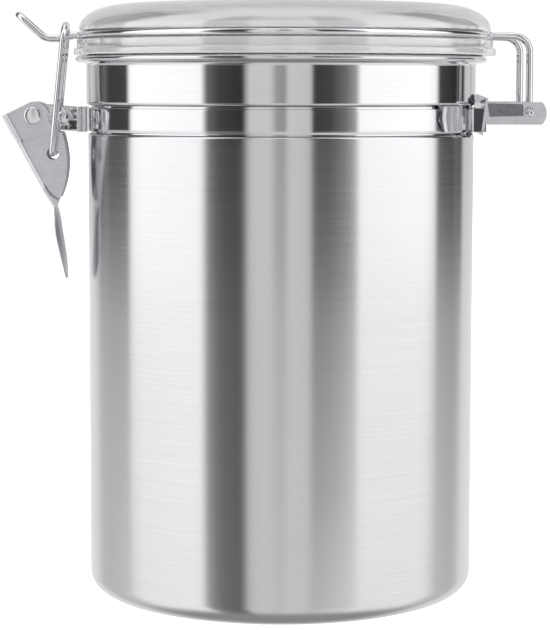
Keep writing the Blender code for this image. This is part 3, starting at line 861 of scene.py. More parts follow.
@dataclass
class Canister:
    """The drawn body with its band."""

    finishes: Finishes
    radius: float = 61.0
    wall: float = 0.7
    corner_across: float = 8.0
    corner_up: float = 6.5
    band_height: float = BAND_MIDDLE
    band_width: float = 7.5
    band_outer: float = 60.7
    band_thickness: float = 0.6
    groove_room: float = 0.6
    groove_room_below: float = 0.35
    roll: float = 1.0
    neck_top: float = 167.2
    flare: float = 0.4
    rim_radius: float = 64.8
    rim_bottom: float = 168.2
    rim_height: float = 1.9

    @property
    def groove_radius(self) -> float:
        """The groove's floor."""
        return self.band_outer - self.band_thickness - 0.3

    @property
    def rim_top(self) -> float:
        """The height of the rolled rim's top."""
        return self.rim_bottom + self.rim_height

    def outer_profile(self) -> list[Point]:
        """The outside, from the middle of the bottom up to the rim's top."""
        low = self.band_height - self.band_width / 2 - self.groove_room_below
        high = self.band_height + self.band_width / 2 + self.groove_room
        deep = self.radius - self.groove_radius
        corner = (self.radius - self.corner_across, self.corner_up)
        shoulder = oval_arc((self.groove_radius, low - self.roll), deep, self.roll, 0, 90, 8)
        middle = self.rim_bottom + self.rim_height / 2
        bead = arc((self.rim_radius - self.rim_height / 2, middle), self.rim_height / 2, -90, 90, 14)
        neck = self.radius + self.flare
        neck_roll = oval_arc(
            (self.groove_radius, high + self.roll), neck - self.groove_radius, self.roll, -90, 0, 8
        )
        curl = arc((neck + 1.1, self.neck_top - 0.1), 1.1, 180, 90, 5)
        return [
            (0, 0),
            *oval_arc(corner, self.corner_across, self.corner_up, -90, 0, 14),
            (self.radius, 40),
            (self.radius, 90),
            *shoulder,
            *neck_roll,
            (neck, high + 1.3 * self.roll),
            (neck, high + 2.0 * self.roll),
            (neck, self.neck_top - 0.6),
            *curl,
            *bead,
        ]

    def inner_profile(self) -> list[Point]:
        """The inside, from the mouth down to the middle of the floor."""
        low = self.band_height - self.band_width / 2 - self.groove_room
        high = self.band_height + self.band_width / 2 + self.groove_room
        neck = self.radius + self.flare - self.wall
        inner = self.radius - self.wall
        ridge = self.groove_radius - self.wall
        corner = (self.radius - self.corner_across, self.corner_up)
        return [
            *arc((neck + 0.9, self.rim_top - 0.9), 0.9, 90, 180, 6),
            (neck, self.neck_top - 3),
            (inner, high + self.roll),
            (ridge, high + 0.2),
            (ridge, low - 0.2),
            (inner, low - self.roll),
            *oval_arc(
                corner,
                self.corner_across - self.wall,
                self.corner_up - self.wall,
                0,
                -90,
                10,
            ),
            (0, self.wall),
        ]

    def make_shell(self) -> bpy.types.Object:
        """Turn the body and give its brushed, polished and inner areas their finishes.

        Returns:
            The body.
        """
        shell = turned("body_shell", self.outer_profile() + self.inner_profile(), closed=False)
        brushed_top = (self.band_height - self.band_width / 2 - self.groove_room) * MM
        for polygon in shell.data.polygons:
            centre = polygon.center
            outward = polygon.normal.x * centre.x + polygon.normal.y * centre.y
            inside = outward < 0 and centre.z < (self.neck_top + 1) * MM
            floor = polygon.normal.z > 0.5 and centre.z < 20 * MM
            if inside or floor:
                polygon.material_index = 2
            elif centre.z > brushed_top:
                polygon.material_index = 1
        coats = (self.finishes.brushed, self.finishes.polished, self.finishes.inside)
        return dress(shell, Body.BASE, Slot.BRUSHED, ["canister_body"], *coats)

    def make_band(self) -> bpy.types.Object:
        """Turn the open clamp band, slightly crowned, with eased edges.

        Returns:
            The band.
        """
        half = self.band_width / 2
        outer = [
            (self.band_outer - 0.22, self.band_height - half),
            (self.band_outer - 0.07, self.band_height - half + 0.12),
            (self.band_outer - 0.02, self.band_height - half + 0.45),
            (self.band_outer, self.band_height - half + 1.2),
            (self.band_outer, self.band_height + half - 1.2),
            (self.band_outer - 0.02, self.band_height + half - 0.45),
            (self.band_outer - 0.07, self.band_height + half - 0.12),
            (self.band_outer - 0.22, self.band_height + half),
        ]
        back = self.band_outer - self.band_thickness
        inner = [(back, self.band_height + half), (back, self.band_height - half)]
        band = turned("band_strap", outer + inner, True, steps=220, start=12, sweep=336)
        return dress(band, Body.BASE, Slot.POLISHED, ["clamp_band"], self.finishes.polished)


@dataclass
class Lid:
    """The clear lid, its gasket and the wire frame that carries it."""

    finishes: Finishes
    hinge: Point
    bottom: float = 170.4
    lip_radius: float = 66.5
    lip_height: float = 2.1
    flange_radius: float = 65.6
    flange_top: float = 175.2
    ring_radius: float = 64.0
    wire: float = 2.2
    dome_radius: float = 64.8
    shoulder_width: float = 15.0
    shoulder_height: float = 7.6
    shoulder_bottom: float = 178.6
    crown: float = 0.4
    thickness: float = 2.6
    plug_radius: float = 57.6
    plug_depth: float = 2.6
    plug_wall: float = 2.4
    gasket_width: float = 4.4
    gasket_height: float = 1.7
    shift: float = 1.2
    leg_y: float = 10.9
    leg_top: float = 176.3
    pin_end: float = 14.4
    tab_y: float = 3.4
    tab_height: float = 175.6
    tab_start: float = -70.2
    tab_bend: float = -74.3
    tab_tip: Point = (-82.55, 183.0)

    @property
    def ring_height(self) -> float:
        """The height of the wire ring's centre line."""
        return self.flange_top + 0.3 + self.wire / 2

    def off_centre(self, piece: bpy.types.Object) -> None:
        """Move a turned piece from the body's axis onto the lid's own axis.

        Args:
            piece: the piece to move.
        """
        shape_points(piece, lambda place: place + Vector((self.shift * MM, 0, 0)))

    def make_dome(self) -> bpy.types.Object:
        """Turn the clear lid, with eased edges and a wire groove.

        Returns:
            The lid.
        """
        groove = self.ring_radius - self.wire / 2 - 0.3
        dome_bottom = self.ring_height + self.wire / 2 + 0.3
        centre = (self.dome_radius - self.shoulder_width, self.shoulder_bottom)
        top = self.shoulder_bottom + self.shoulder_height + self.crown
        gasket_outer = self.plug_radius + 0.3 + self.gasket_width
        gasket_top = self.bottom + self.gasket_height
        outer = [
            *arc((self.lip_radius - 0.4, self.bottom + 0.4), 0.4, -90, 0, 4),
            *arc((self.lip_radius - 0.4, self.bottom + self.lip_height - 0.4), 0.4, 0, 80, 4),
            *arc((self.flange_radius + 0.3, self.bottom + self.lip_height + 0.3), 0.3, -90, -180, 3),
            *arc((self.flange_radius - 0.35, self.flange_top - 0.35), 0.35, 0, 90, 4),
            (groove + 0.3, self.flange_top),
            (groove, self.flange_top + 0.3),
            (groove, dome_bottom - 0.3),
            (groove + 0.3, dome_bottom),
            (self.dome_radius - 0.2, dome_bottom),
            (self.dome_radius, dome_bottom + 0.2),
            *oval_arc(centre, self.shoulder_width, self.shoulder_height, 0, 90, 26),
            (centre[0] - 12, top - self.crown * 0.55),
            (centre[0] - 27, top - self.crown * 0.2),
            (0, top),
        ]
        hollow = self.plug_radius - self.plug_wall
        under = [
            (0, top - self.thickness),
            (centre[0] - 27, top - self.thickness - self.crown * 0.3),
            *oval_arc(
                centre, hollow - centre[0], self.shoulder_height - self.thickness, 90, 0, 12
            ),
            (hollow, self.bottom - self.plug_depth + 0.3),
            (hollow + 0.3, self.bottom - self.plug_depth),
            (self.plug_radius - 0.6, self.bottom - self.plug_depth),
            (self.plug_radius, self.bottom - self.plug_depth + 1.2),
            (self.plug_radius, gasket_top + 0.3),
            (gasket_outer + 0.3, gasket_top + 0.3),
            (gasket_outer + 0.3, self.bottom),
        ]
        profile = outer + under
        dome = turned("lid_dome", profile, closed=True)
        self.off_centre(dome)
        return dress(dome, Body.LID, Slot.ACRYLIC, ["lid"], self.finishes.acrylic)

    def make_gasket(self) -> bpy.types.Object:
        """Turn the silicone seal with its rounded outer lip and inner bead.

        Returns:
            The gasket.
        """
        inner = self.plug_radius + 0.3
        outer = inner + self.gasket_width
        top = self.bottom + self.gasket_height
        profile = [
            (inner, self.bottom - 0.9),
            (inner + 0.55, self.bottom - 0.9),
            (inner + 0.8, self.bottom - 0.65),
            (inner + 1.0, self.bottom),
            (inner + 2.0, self.bottom + 0.12),
            (inner + 2.8, self.bottom),
            (outer - 0.3, self.bottom),
            (outer, self.bottom + 0.3),
            (outer, top - 0.3),
            (outer - 0.3, top),
            (inner, top),
        ]
        gasket = turned("gasket_ring", profile, True)
        self.off_centre(gasket)
        return dress(gasket, Body.LID, Slot.SILICONE, ["lid_gasket"], self.finishes.silicone)

    def wire_corners(self) -> tuple[list[tuple[float, float, float]], list[float]]:
        """The lid wire's rear half: corners and bends from the hinge pin to the tab's tip."""
        exit_angle = math.asin(self.leg_y / self.ring_radius)
        tab_angle = math.pi - math.asin(self.tab_y / self.ring_radius)
        clear_x = self.flange_radius + 1.0
        ring = self.ring_height
        exit_bend = 1.8
        room = 2.6 * exit_bend / self.ring_radius
        corners = [
            (self.hinge[0], self.pin_end, self.hinge[1]),
            (self.hinge[0], self.leg_y, self.hinge[1]),
            (self.hinge[0], self.leg_y, self.leg_top),
            (self.shift + clear_x, self.leg_y, ring),
            (self.shift + self.ring_radius * math.cos(exit_angle), self.leg_y, ring),
        ]
        bends = [0, 1.6, 5.0, 0, exit_bend]
        steps = 72
        for i in range(steps + 1):
            turn = exit_angle + room + (tab_angle - exit_angle - 2 * room) * i / steps
            across = self.shift + self.ring_radius * math.cos(turn)
            corners.append((across, self.ring_radius * math.sin(turn), ring))
            bends.append(0)
        corners += [
            (self.shift + self.ring_radius * math.cos(tab_angle), self.tab_y, ring),
            (self.shift - clear_x, self.tab_y, ring),
            (self.tab_start, self.tab_y, self.tab_height),
            (self.tab_bend, self.tab_y, self.tab_height),
            (self.tab_tip[0], self.tab_y, self.tab_tip[1]),
        ]
        bends += [exit_bend, 0, 3.0, 5.0, self.tab_y - 0.05]
        return corners, bends

    def make_wire(self) -> bpy.types.Object:
        """Bend the one wire that forms the hinge legs, the ring and the latch tab.

        Returns:
            The wire frame.
        """
        corners, bends = self.wire_corners()
        corners += [(x, -y, z) for x, y, z in reversed(corners)]
        bends += list(reversed(bends))
        frame = wire("lid_wire", rounded_route(corners, bends, 8), self.wire)
        return dress(frame, Body.LID, Slot.WIRE, ["lid_wire_frame"], self.finishes.wire)


@dataclass
class HingeBracket:
    """The hinge channel on the band, its tall flange and the crimped clips beside it."""

    finishes: Finishes
    axis: Point
    centre: float = BAND_MIDDLE
    flange_x: float = 63.4
    flange_low: float = 146.85
    flange_high: float = 157.2
    sheet: float = SHEET
    arm_inner: float = 12.3
    arm_reach: float = 82.7
    arm_height: float = 7.0
    cheek: float = 14.5
    cheek_half: float = FITTING_HALF
    cheek_splay: float = 0.16
    wing_inner: float = WING_RADIUS
    wing_angle: float = 16.4
    lean: float = 1.2
    hole: Point = (77.0, 152.75)
    hole_radius: float = 1.75
    recess: tuple[Point, ...] = ((64.1, 155.6), (75.2, 155.3), (75.2, 151.6), (64.7, 151.4))
    recess_depth: float = 0.25
    top_tab: tuple[Point, ...] = ((63.9, 157.3), (60.6, 158.5), (59.5, 157.6), (60.8, 155.7))
    foot_tab: tuple[Point, ...] = ((59.6, 147.0), (62.9, 147.1), (62.6, 145.6))
    tab_inner: float = 12.9
    tab_outer: float = 13.5
    clip_below: float = 3.35
    clip_above: float = 4.05
    clip_hook: float = 60.2
    clip_start: float = 17.0
    clip_sweep: float = 11.5
    eye_outer: float = 2.3
    eye_inner: float = 0.45

    def arm_outline(self) -> list[Point]:
        """The side view of an arm: straight, with a round outer end."""
        half = self.arm_height / 2
        middle = self.axis[1]
        radius = half * 1.4
        lean = math.degrees(math.asin(half / radius))
        tip = arc((self.arm_reach - radius, middle), radius, -lean, lean, 20)
        return [(self.flange_x + 0.2, middle - half), *tip, (self.flange_x + 0.2, middle + half)]

    def make(self) -> bpy.types.Object:
        """Fold the bracket from its flange, arms, cheeks and wings, and bore its pin holes.

        Returns:
            The bracket.
        """
        front = self.flange_x
        flange = plate(
            "hinge_channel",
            [
                (front - self.lean, self.flange_low),
                (front + self.sheet - self.lean, self.flange_low),
                (front + self.sheet, self.flange_high),
                (front, self.flange_high),
            ],
            -self.cheek,
            self.cheek,
        )
        half = self.cheek_half
        for side in (-1, 1):
            arm = plate(
                "arm", self.arm_outline(), side * self.arm_inner, side * (self.arm_inner + self.sheet)
            )
            face = side * (self.arm_inner + self.sheet)
            inset = face - side * self.recess_depth
            combine(arm, plate("recess", self.recess, inset, face + side), "DIFFERENCE")
            combine(flange, arm, "UNION")
            inner_x = math.sqrt(self.wing_inner**2 - (self.cheek - self.sheet) ** 2) + 0.1
            cheek = plate(
                "cheek",
                [
                    (inner_x, self.centre - half),
                    (front + 0.3, self.centre - half),
                    (front + 0.3, self.centre + half),
                    (inner_x, self.centre + half),
                ],
                side * (self.cheek - self.sheet),
                side * self.cheek,
            )
            ease_edges(cheek, 0.15)
            splay = side * self.cheek_splay
            shape_points(cheek, lambda p: p - Vector((0, splay * (p.x - inner_x * MM), 0)))
            combine(flange, cheek, "UNION")
            for outline in (self.top_tab, self.foot_tab):
                tab = plate("tab", outline, side * self.tab_inner, side * self.tab_outer)
                combine(flange, tab, "UNION")
            start = math.degrees(math.asin((self.cheek - 0.4) / (self.wing_inner + self.sheet)))
            wing = turned(
                "wing",
                [
                    (self.wing_inner, self.centre - half + 0.2),
                    (self.wing_inner + self.sheet, self.centre - half + 0.2),
                    (self.wing_inner + self.sheet, self.centre + half - 0.2),
                    (self.wing_inner, self.centre + half - 0.2),
                ],
                True,
                steps=6,
                start=start if side > 0 else -self.wing_angle,
                sweep=self.wing_angle - start,
            )
            combine(flange, wing, "UNION")
        for side in (-1, 1):
            ends = (side * (self.arm_inner - 1), side * (self.arm_inner + 2))
            combine(flange, pin("bore", *self.hole, self.hole_radius, *ends), "DIFFERENCE")
        ease_edges(flange, 0.15)
        finish_mesh(flange)
        flatten_faces(flange)
        # The recess floors take the darker second finish: painted shade in the recess.
        floor = (self.arm_inner + self.sheet - self.recess_depth) * MM
        for polygon in flange.data.polygons:
            at_floor = abs(abs(polygon.center.y) - floor) < 0.02 * MM
            polygon.material_index = int(at_floor and abs(polygon.normal.y) > 0.9)
        coats = (self.finishes.plated, self.finishes.shaded_recess)
        return dress(flange, Body.BASE, Slot.SHEET, ["hinge_bracket"], *coats)

    def make_clip(self, name: str, node: str, side: int) -> bpy.types.Object:
        """Turn one end clip that folds over the band's upper edge.

        Args:
            name: the piece's name.
            node: the CAD node that it stands for.
            side: -1 at the front, 1 at the rear.

        Returns:
            The clip.
        """
        low = self.centre - self.clip_below
        lip = self.centre + self.clip_above
        outer = self.wing_inner + self.sheet
        profile = [
            (self.wing_inner, low),
            (outer - 0.15, low),
            (outer, low + 0.2),
            (outer, lip + 0.25),
            (outer - 0.25, lip + 0.5),
            (self.clip_hook, lip + 0.5),
            (self.clip_hook, lip),
            (self.wing_inner, lip),
        ]
        end = self.clip_start + self.clip_sweep
        start = self.clip_start if side > 0 else -end
        clip = turned(name, profile, True, steps=28, start=start, sweep=self.clip_sweep)
        apply_modifier(clip, "SUBSURF", {"levels": 1, "render_levels": 1, "subdivision_type": "SIMPLE"})

        def crumple(place: Vector) -> Vector:
            """Dent the clip as the crimping tool leaves it.

            Args:
                place: a point of the clip.

            Returns:
                Its dented place.
            """
            turn = abs(math.degrees(math.atan2(place.y, place.x)))
            height = place.z / MM
            dent = 0.2 * math.sin(1.9 * height + 0.7 * turn) * math.sin(1.1 * turn)
            ragged = max(turn - 25.5, 0.0) * 0.12 * math.sin(2.6 * height)
            out = Vector((place.x, place.y, 0)).normalized()
            along = Vector((-out.y, out.x, 0)) * side
            return place + (out * max(dent, -0.1) + along * ragged) * MM

        shape_points(clip, crumple)
        loop = plate("loop", arc((0, 0), self.eye_outer, 180, 360, 16), -0.25, 0.25)
        combine(loop, pin("eye", 0, -1.2, self.eye_inner, -1, 1), "DIFFERENCE")
        turn = Matrix.Rotation(math.radians(90 + 22 * side), 4, "Z")
        seat = turn @ Matrix.Translation((0, -(self.wing_inner + 0.6) * MM, (low + 0.4) * MM))
        loop.data.transform(seat)
        activate(loop)
        clip.select_set(True)
        bpy.context.view_layer.objects.active = clip
        bpy.ops.object.join()
        finish_mesh(clip)
        # The eye tab below the clip takes the nearly black second finish: a painted dark reflection.
        for polygon in clip.data.polygons:
            polygon.material_index = int(polygon.center.z < (low - 0.15) * MM)
        coats = (self.finishes.pressed, self.finishes.dark_reflection)
        return dress(clip, Body.BASE, Slot.SHEET, [node], *coats)


@dataclass
class Latch:
    """The latch bracket, the over-centre lever, its rivet and the wire loop."""

    finishes: Finishes
    pivot: Point
    hook: Point
    band_height: float = BAND_MIDDLE
    arm_outer: float = 5.8
    sheet: float = SHEET
    arm_height: float = 7.6
    band_half: float = FITTING_HALF
    wing_inner: float = WING_RADIUS
    saddle: float = 2.6
    upper_inner: float = 6.1
    step: float = 0.6
    bar: Point = (-67.75, 179.9)
    wire: float = 2.0
    rivet_reach: float = 7.9
    rivet_radius: float = 2.8
    bore_radius: float = 1.8
    boss_place: Point = (-68.3, 0.6)
    boss_radius: float = 2.1
    boss_flatness: float = 0.35
    ridges: tuple[float, ...] = (-63.5, -61.9)
    ridge_radius: float = 0.75
    facets: tuple[tuple[float, float, float, float], ...] = (
        (-66.9, -64.3, 147.2, 150.0),
        (-66.0, -64.3, 150.6, 153.5),
        (-69.9, -67.1, 147.2, 148.6),
    )
    facet_depth: float = 0.62
    top_left: Point = (-9.85, -0.2)
    top_edge: Point = (-7.5, 0.9)
    head: Point = (0.6, -0.1)
    head_radius: float = 4.5
    step_right: Point = (5.4, -5.6)
    upper_corner: Point = (7.0, -4.9)
    bulge: Point = (-17.0, -14.6)
    bulge_radius: float = 27.8
    knee: Point = (3.2, -24.45)
    neck: Point = (6.45, -29.5)
    tip: Point = (9.95, -51.45)
    heel: tuple[Point, ...] = (
        (7.9, -26.3),
        (7.0, -26.15),
        (5.45, -25.0),
        (4.25, -23.4),
        (3.45, -22.2),
    )
    web_depth: float = 1.9
    crease_share: float = 1.2
    fold: float = 1.7
    upper_length: float = 9.8
    tongue_half: float = 7.0
    tongue_sheet: float = 0.5
    tongue_bow: float = 1.1
    tongue_dish: float = 1.9

    def at_pivot(self, place: Point) -> Point:
        """A point of the side view, from its distance to the lever's pivot.

        Args:
            place: x and z from the pivot in millimetres.

        Returns:
            The point in the canister's frame.
        """
        return (self.pivot[0] + place[0], self.pivot[1] + place[1])

    def make_bracket(self) -> bpy.types.Object:
        """Fold the fixed bracket from its saddle, wings and arms, and bore the rivet hole.

        Returns:
            The bracket.
        """
        saddle = -(self.wing_inner + self.saddle)
        low = self.band_height - self.band_half
        high = self.band_height + self.band_half
        bracket = plate(
            "latch_channel",
            [
                (saddle - self.sheet, low),
                (-self.wing_inner - 0.1, low),
                (-self.wing_inner - 0.1, high),
                (saddle - self.sheet, high),
            ],
            -self.arm_outer,
            self.arm_outer,
        )
        outer = self.wing_inner + self.sheet
        section = [
            (self.wing_inner, low + 0.2),
            (outer, low + 0.2),
            (outer, high - 0.2),
            (self.wing_inner, high - 0.2),
        ]
        combine(bracket, turned("wing", section, True, steps=24, start=165, sweep=30), "UNION")
        half = self.arm_height / 2
        outline = [(saddle, high), *arc(self.pivot, half, 90, 270, 24), (saddle, low)]
        for side in (-1, 1):
            arm = plate(
                "arm", outline, side * (self.arm_outer - self.sheet), side * self.arm_outer
            )
            combine(bracket, arm, "UNION")
            self.add_bracket_relief(bracket, side)
        combine(bracket, pin("bore", *self.pivot, self.bore_radius, -8, 8), "DIFFERENCE")
        ease_edges(bracket, 0.15)
        finish_mesh(bracket)
        flatten_faces(bracket)
        return dress(bracket, Body.BASE, Slot.SHEET, ["latch_bracket"], self.finishes.buffed)

    def add_bracket_relief(self, bracket: bpy.types.Object, side: int) -> None:
        """Add the pressed boss, the tilted facets and the rolled ridges to one side.

        Args:
            bracket: the bracket.
            side: -1 at the front, 1 at the rear.
        """
        clear_selection()
        bpy.ops.mesh.primitive_uv_sphere_add(
            segments=32, ring_count=16, radius=self.boss_radius * MM
        )
        boss = bpy.context.object
        boss_x, rise = self.boss_place
        centre = Vector((boss_x, side * self.arm_outer, self.band_height + rise)) * MM
        shape_points(boss, lambda p: centre + Vector((p.x, p.y * self.boss_flatness, p.z)))
        combine(bracket, boss, "UNION")
        face = side * self.arm_outer
        for x_low, x_high, z_low, z_high in self.facets:
            corners = [(x_low, z_low), (x_high, z_low), (x_high, z_high), (x_low, z_high)]
            cut = plate("facet", corners, face, 2 * face)
            slope = side * self.facet_depth / (x_high - x_low)
            shape_points(cut, lambda p: p - Vector((0, slope * (x_high * MM - p.x), 0)))
            combine(bracket, cut, "DIFFERENCE")
        for x in self.ridges:
            clear_selection()
            bpy.ops.mesh.primitive_cylinder_add(
                vertices=24,
                radius=self.ridge_radius * MM,
                depth=(2 * self.band_half + 0.3) * MM,
                location=(x * MM, side * (self.arm_outer + 0.1) * MM, self.band_height * MM),
            )
            ridge = bpy.context.object
            bpy.ops.object.transform_apply(location=True, rotation=True, scale=True)
            combine(bracket, ridge, "UNION")

    def make_lever(self) -> bpy.types.Object:
        """Fold the lever: a rounded web, stepped cheeks and a dished finger tongue.

        Returns:
            The lever.
        """
        top, knee, neck = (Vector(self.at_pivot(p)) for p in (self.top_left, self.knee, self.neck))
        heel = [Vector(self.at_pivot(p)) for p in self.heel]
        run = (knee - top).normalized()
        inward = Vector((-run.y, run.x)) * self.web_depth
        crease = inward * self.crease_share
        inner = self.upper_inner
        web_half = inner - self.step + self.sheet - 0.1
        long_web = [top, knee, heel[-1], top + inward]
        lever = plate("latch_lever_sheet", [tuple(p) for p in long_web], -web_half, web_half)
        fold_edges(lever, top, knee, self.fold)
        ease_edges(lever, 0.3)
        foot = plate("web_foot", [tuple(p) for p in (knee, neck, *heel)], -web_half, web_half)
        fold_edges(foot, knee, neck, self.fold / 2)
        ease_edges(foot, 0.2)
        combine(lever, foot, "UNION")
        split = top + run * self.upper_length
        upper_web = [top, split, split + inward, top + inward]
        wide = plate("web_top", [tuple(p) for p in upper_web], -inner - 0.7, inner + 0.7)
        fold_edges(wide, top, split, self.fold)
        ease_edges(wide, 0.3)
        combine(lever, wide, "UNION")
        head = arc(self.at_pivot(self.head), self.head_radius, 125, -15, 28)
        step_line = [self.at_pivot(p) for p in (self.upper_corner, self.step_right)]
        step_end = split + run * 0.4 + crease
        upper = [tuple(top + crease), self.at_pivot(self.top_edge), *head, *step_line, tuple(step_end)]
        lower = [
            tuple(step_end + Vector((-0.4, 0.9))),
            self.at_pivot((self.step_right[0], self.step_right[1] + 0.9)),
            *arc(self.at_pivot(self.bulge), self.bulge_radius, 20, -22, 24),
            *[tuple(p + inward.normalized() * 0.45) for p in heel],
        ]
        cheeks = (
            (upper, inner, 0.6, self.upper_length - 0.2),
            (lower, inner - self.step, self.upper_length + 0.2, (knee - top).length - 2.5),
        )
        for side in (-1, 1):
            for outline, near, first, last in cheeks:
                cheek = plate("cheek", outline, side * near, side * (near + self.sheet))
                ease_edges(cheek, 0.22)
                combine(lever, cheek, "UNION")
                seam = [
                    tuple(top + run * first + inward * 0.5),
                    tuple(top + run * last + inward * 0.5),
                    tuple(top + run * last + crease * 1.3),
                    tuple(top + run * first + crease * 1.3),
                ]
                joint = plate("seam", seam, side * near, side * (near + self.sheet - 0.55))
                combine(lever, joint, "UNION")
        combine(lever, self.make_tongue(), "UNION")
        combine(lever, pin("bore", *self.pivot, self.bore_radius, -9, 9), "DIFFERENCE")
        combine(lever, pin("bore", *self.hook, self.wire / 2 + 0.9, -9, 9), "DIFFERENCE")
        finish_mesh(lever)
        flatten_faces(lever)
        return dress(lever, Body.LEVER, Slot.SHEET, ["latch_lever"], self.finishes.pressed)

    def make_tongue(self) -> bpy.types.Object:
        """Shape the leaf-like tongue from a grid, dished across and curved along.

        Returns:
            The tongue, closed.
        """
        clear_selection()
        bpy.ops.mesh.primitive_grid_add(x_subdivisions=32, y_subdivisions=16, size=1.0)
        tongue = bpy.context.object
        tongue.name = "tongue"
        start = Vector(self.at_pivot(self.neck)) + Vector((0.1, 1.0))
        end = Vector(self.at_pivot(self.tip))
        root = self.upper_inner - self.step + 0.3

        def leaf(place: Vector) -> Vector:
            """Place a grid point: x runs from the neck to the tip, y across.

            Args:
                place: the point on the unit grid.

            Returns:
                Its place on the tongue.
            """
            along = place.x + 0.5
            swell = math.sin(math.pi * along**0.7)
            line = start.lerp(end, along)
            grow = math.sin(math.pi * min(along / 0.55, 1) / 2)
            width = root + (self.tongue_half - root) * grow
            if along > 0.7:
                width *= math.sqrt(1 - 0.8 * ((along - 0.7) / 0.3) ** 2)
            dish = self.tongue_dish * max(swell, 0.0) * (1 - (2 * place.y) ** 2)
            across = line.x + dish - self.tongue_bow * swell**2
            return Vector((across, 2 * place.y * width, line.y)) * MM

        shape_points(tongue, leaf)
        apply_modifier(
            tongue, "SOLIDIFY", {"thickness": self.tongue_sheet * MM, "offset": 0.0}
        )
        return tongue

    def make_rivet(self) -> bpy.types.Object:
        """Turn the rivet: a shank with a low domed head at each end.

        Returns:
            The rivet.
        """
        x, z = self.pivot
        shank_end = self.upper_inner + self.sheet + 0.3
        falls = ((0.0, 0.0), (1.0, 0.03), (1.9, 0.11), (2.4, 0.22), (2.65, 0.36), (2.78, 0.55))
        head = [(r, self.rivet_reach - fall) for r, fall in falls]
        head += [(self.rivet_radius, shank_end), (1.5, shank_end)]
        profile = head + [(r, -y) for r, y in reversed(head)]
        rivet = turned("pivot_rivet", profile, False, steps=48)
        shape_points(rivet, lambda p: Vector((p.x + x * MM, -p.z, p.y + z * MM)))
        finish_mesh(rivet)
        return dress(rivet, Body.BASE, Slot.SHEET, ["lever_rivet"], self.finishes.burnished)

    def make_loop(self) -> bpy.types.Object:
        """Bend the wire loop whose ends hook into the lever.

        Returns:
            The loop.
        """
        leg = self.rivet_reach + 0.3 + self.wire / 2
        inner_end = self.upper_inner - self.step - 1.2
        corners = [
            (self.hook[0], inner_end, self.hook[1]),
            (self.hook[0], leg, self.hook[1]),
            (self.bar[0], leg, self.bar[1]),
        ]
        corners += [(x, -y, z) for x, y, z in reversed(corners)]
        bends = [0, 1.6, 6.5, 6.5, 1.6, 0]
        loop = wire("latch_loop_wire", rounded_route(corners, bends, 12), self.wire)
        return dress(loop, Body.LOOP, Slot.WIRE, ["latch_loop"], self.finishes.wire)


WORLD_STRENGTH = 2.0

# How dark the light from straight overhead and from the ground is, and the plain backdrop.
CEILING_TONE = 0.62
GROUND_TONE = 0.16
BACKDROP_TONE = 0.51

# The ring of studio panels, dark and bright by turns, which the metal and the lid reflect. Each row
# gives the azimuth in degrees from -Y towards +X, then the light that comes from there at eye level,
# a little below it, and well below it. The camera itself sees only the plain backdrop.
PANELS = (
    (-180, 0.75, 0.90, 0.90),
    (-146, 0.66, 0.85, 0.85),
    (-141, 0.33, 0.73, 0.73),
    (-134, 0.08, 0.63, 0.64),
    (-128, 0.17, 0.64, 0.65),
    (-122, 0.06, 0.64, 0.66),
    (-103.5, 0.07, 0.66, 0.75),
    (-100.5, 1.30, 0.98, 0.93),
    (-93, 1.40, 1.12, 1.03),
    (-49, 1.30, 1.22, 1.10),
    (-45.5, 0.17, 0.36, 0.40),
    (-38, 0.07, 0.22, 0.22),
    (-24, 0.035, 0.13, 0.15),
    (-20, 0.75, 0.70, 0.70),
    (-8, 0.75, 0.74, 0.74),
    (-4.5, 0.42, 0.66, 0.70),
    (0, 0.36, 0.62, 0.70),
    (2.5, 0.75, 0.74, 0.74),
    (15, 0.70, 0.72, 0.73),
    (17, 0.055, 0.12, 0.66),
    (27, 0.075, 0.19, 0.74),
    (36, 0.20, 0.36, 0.82),
    (42, 0.42, 0.58, 0.85),
    (45, 1.30, 1.14, 0.98),
    (92, 1.40, 1.10, 1.00),
    (100.5, 1.20, 0.85, 0.82),
    (103.5, 0.07, 0.68, 0.68),
    (122, 0.03, 0.52, 0.60),
    (124.5, 0.17, 0.52, 0.60),
    (127, 0.04, 0.54, 0.64),
    (133, 0.05, 0.72, 0.76),
    (136, 0.70, 0.86, 0.86),
)


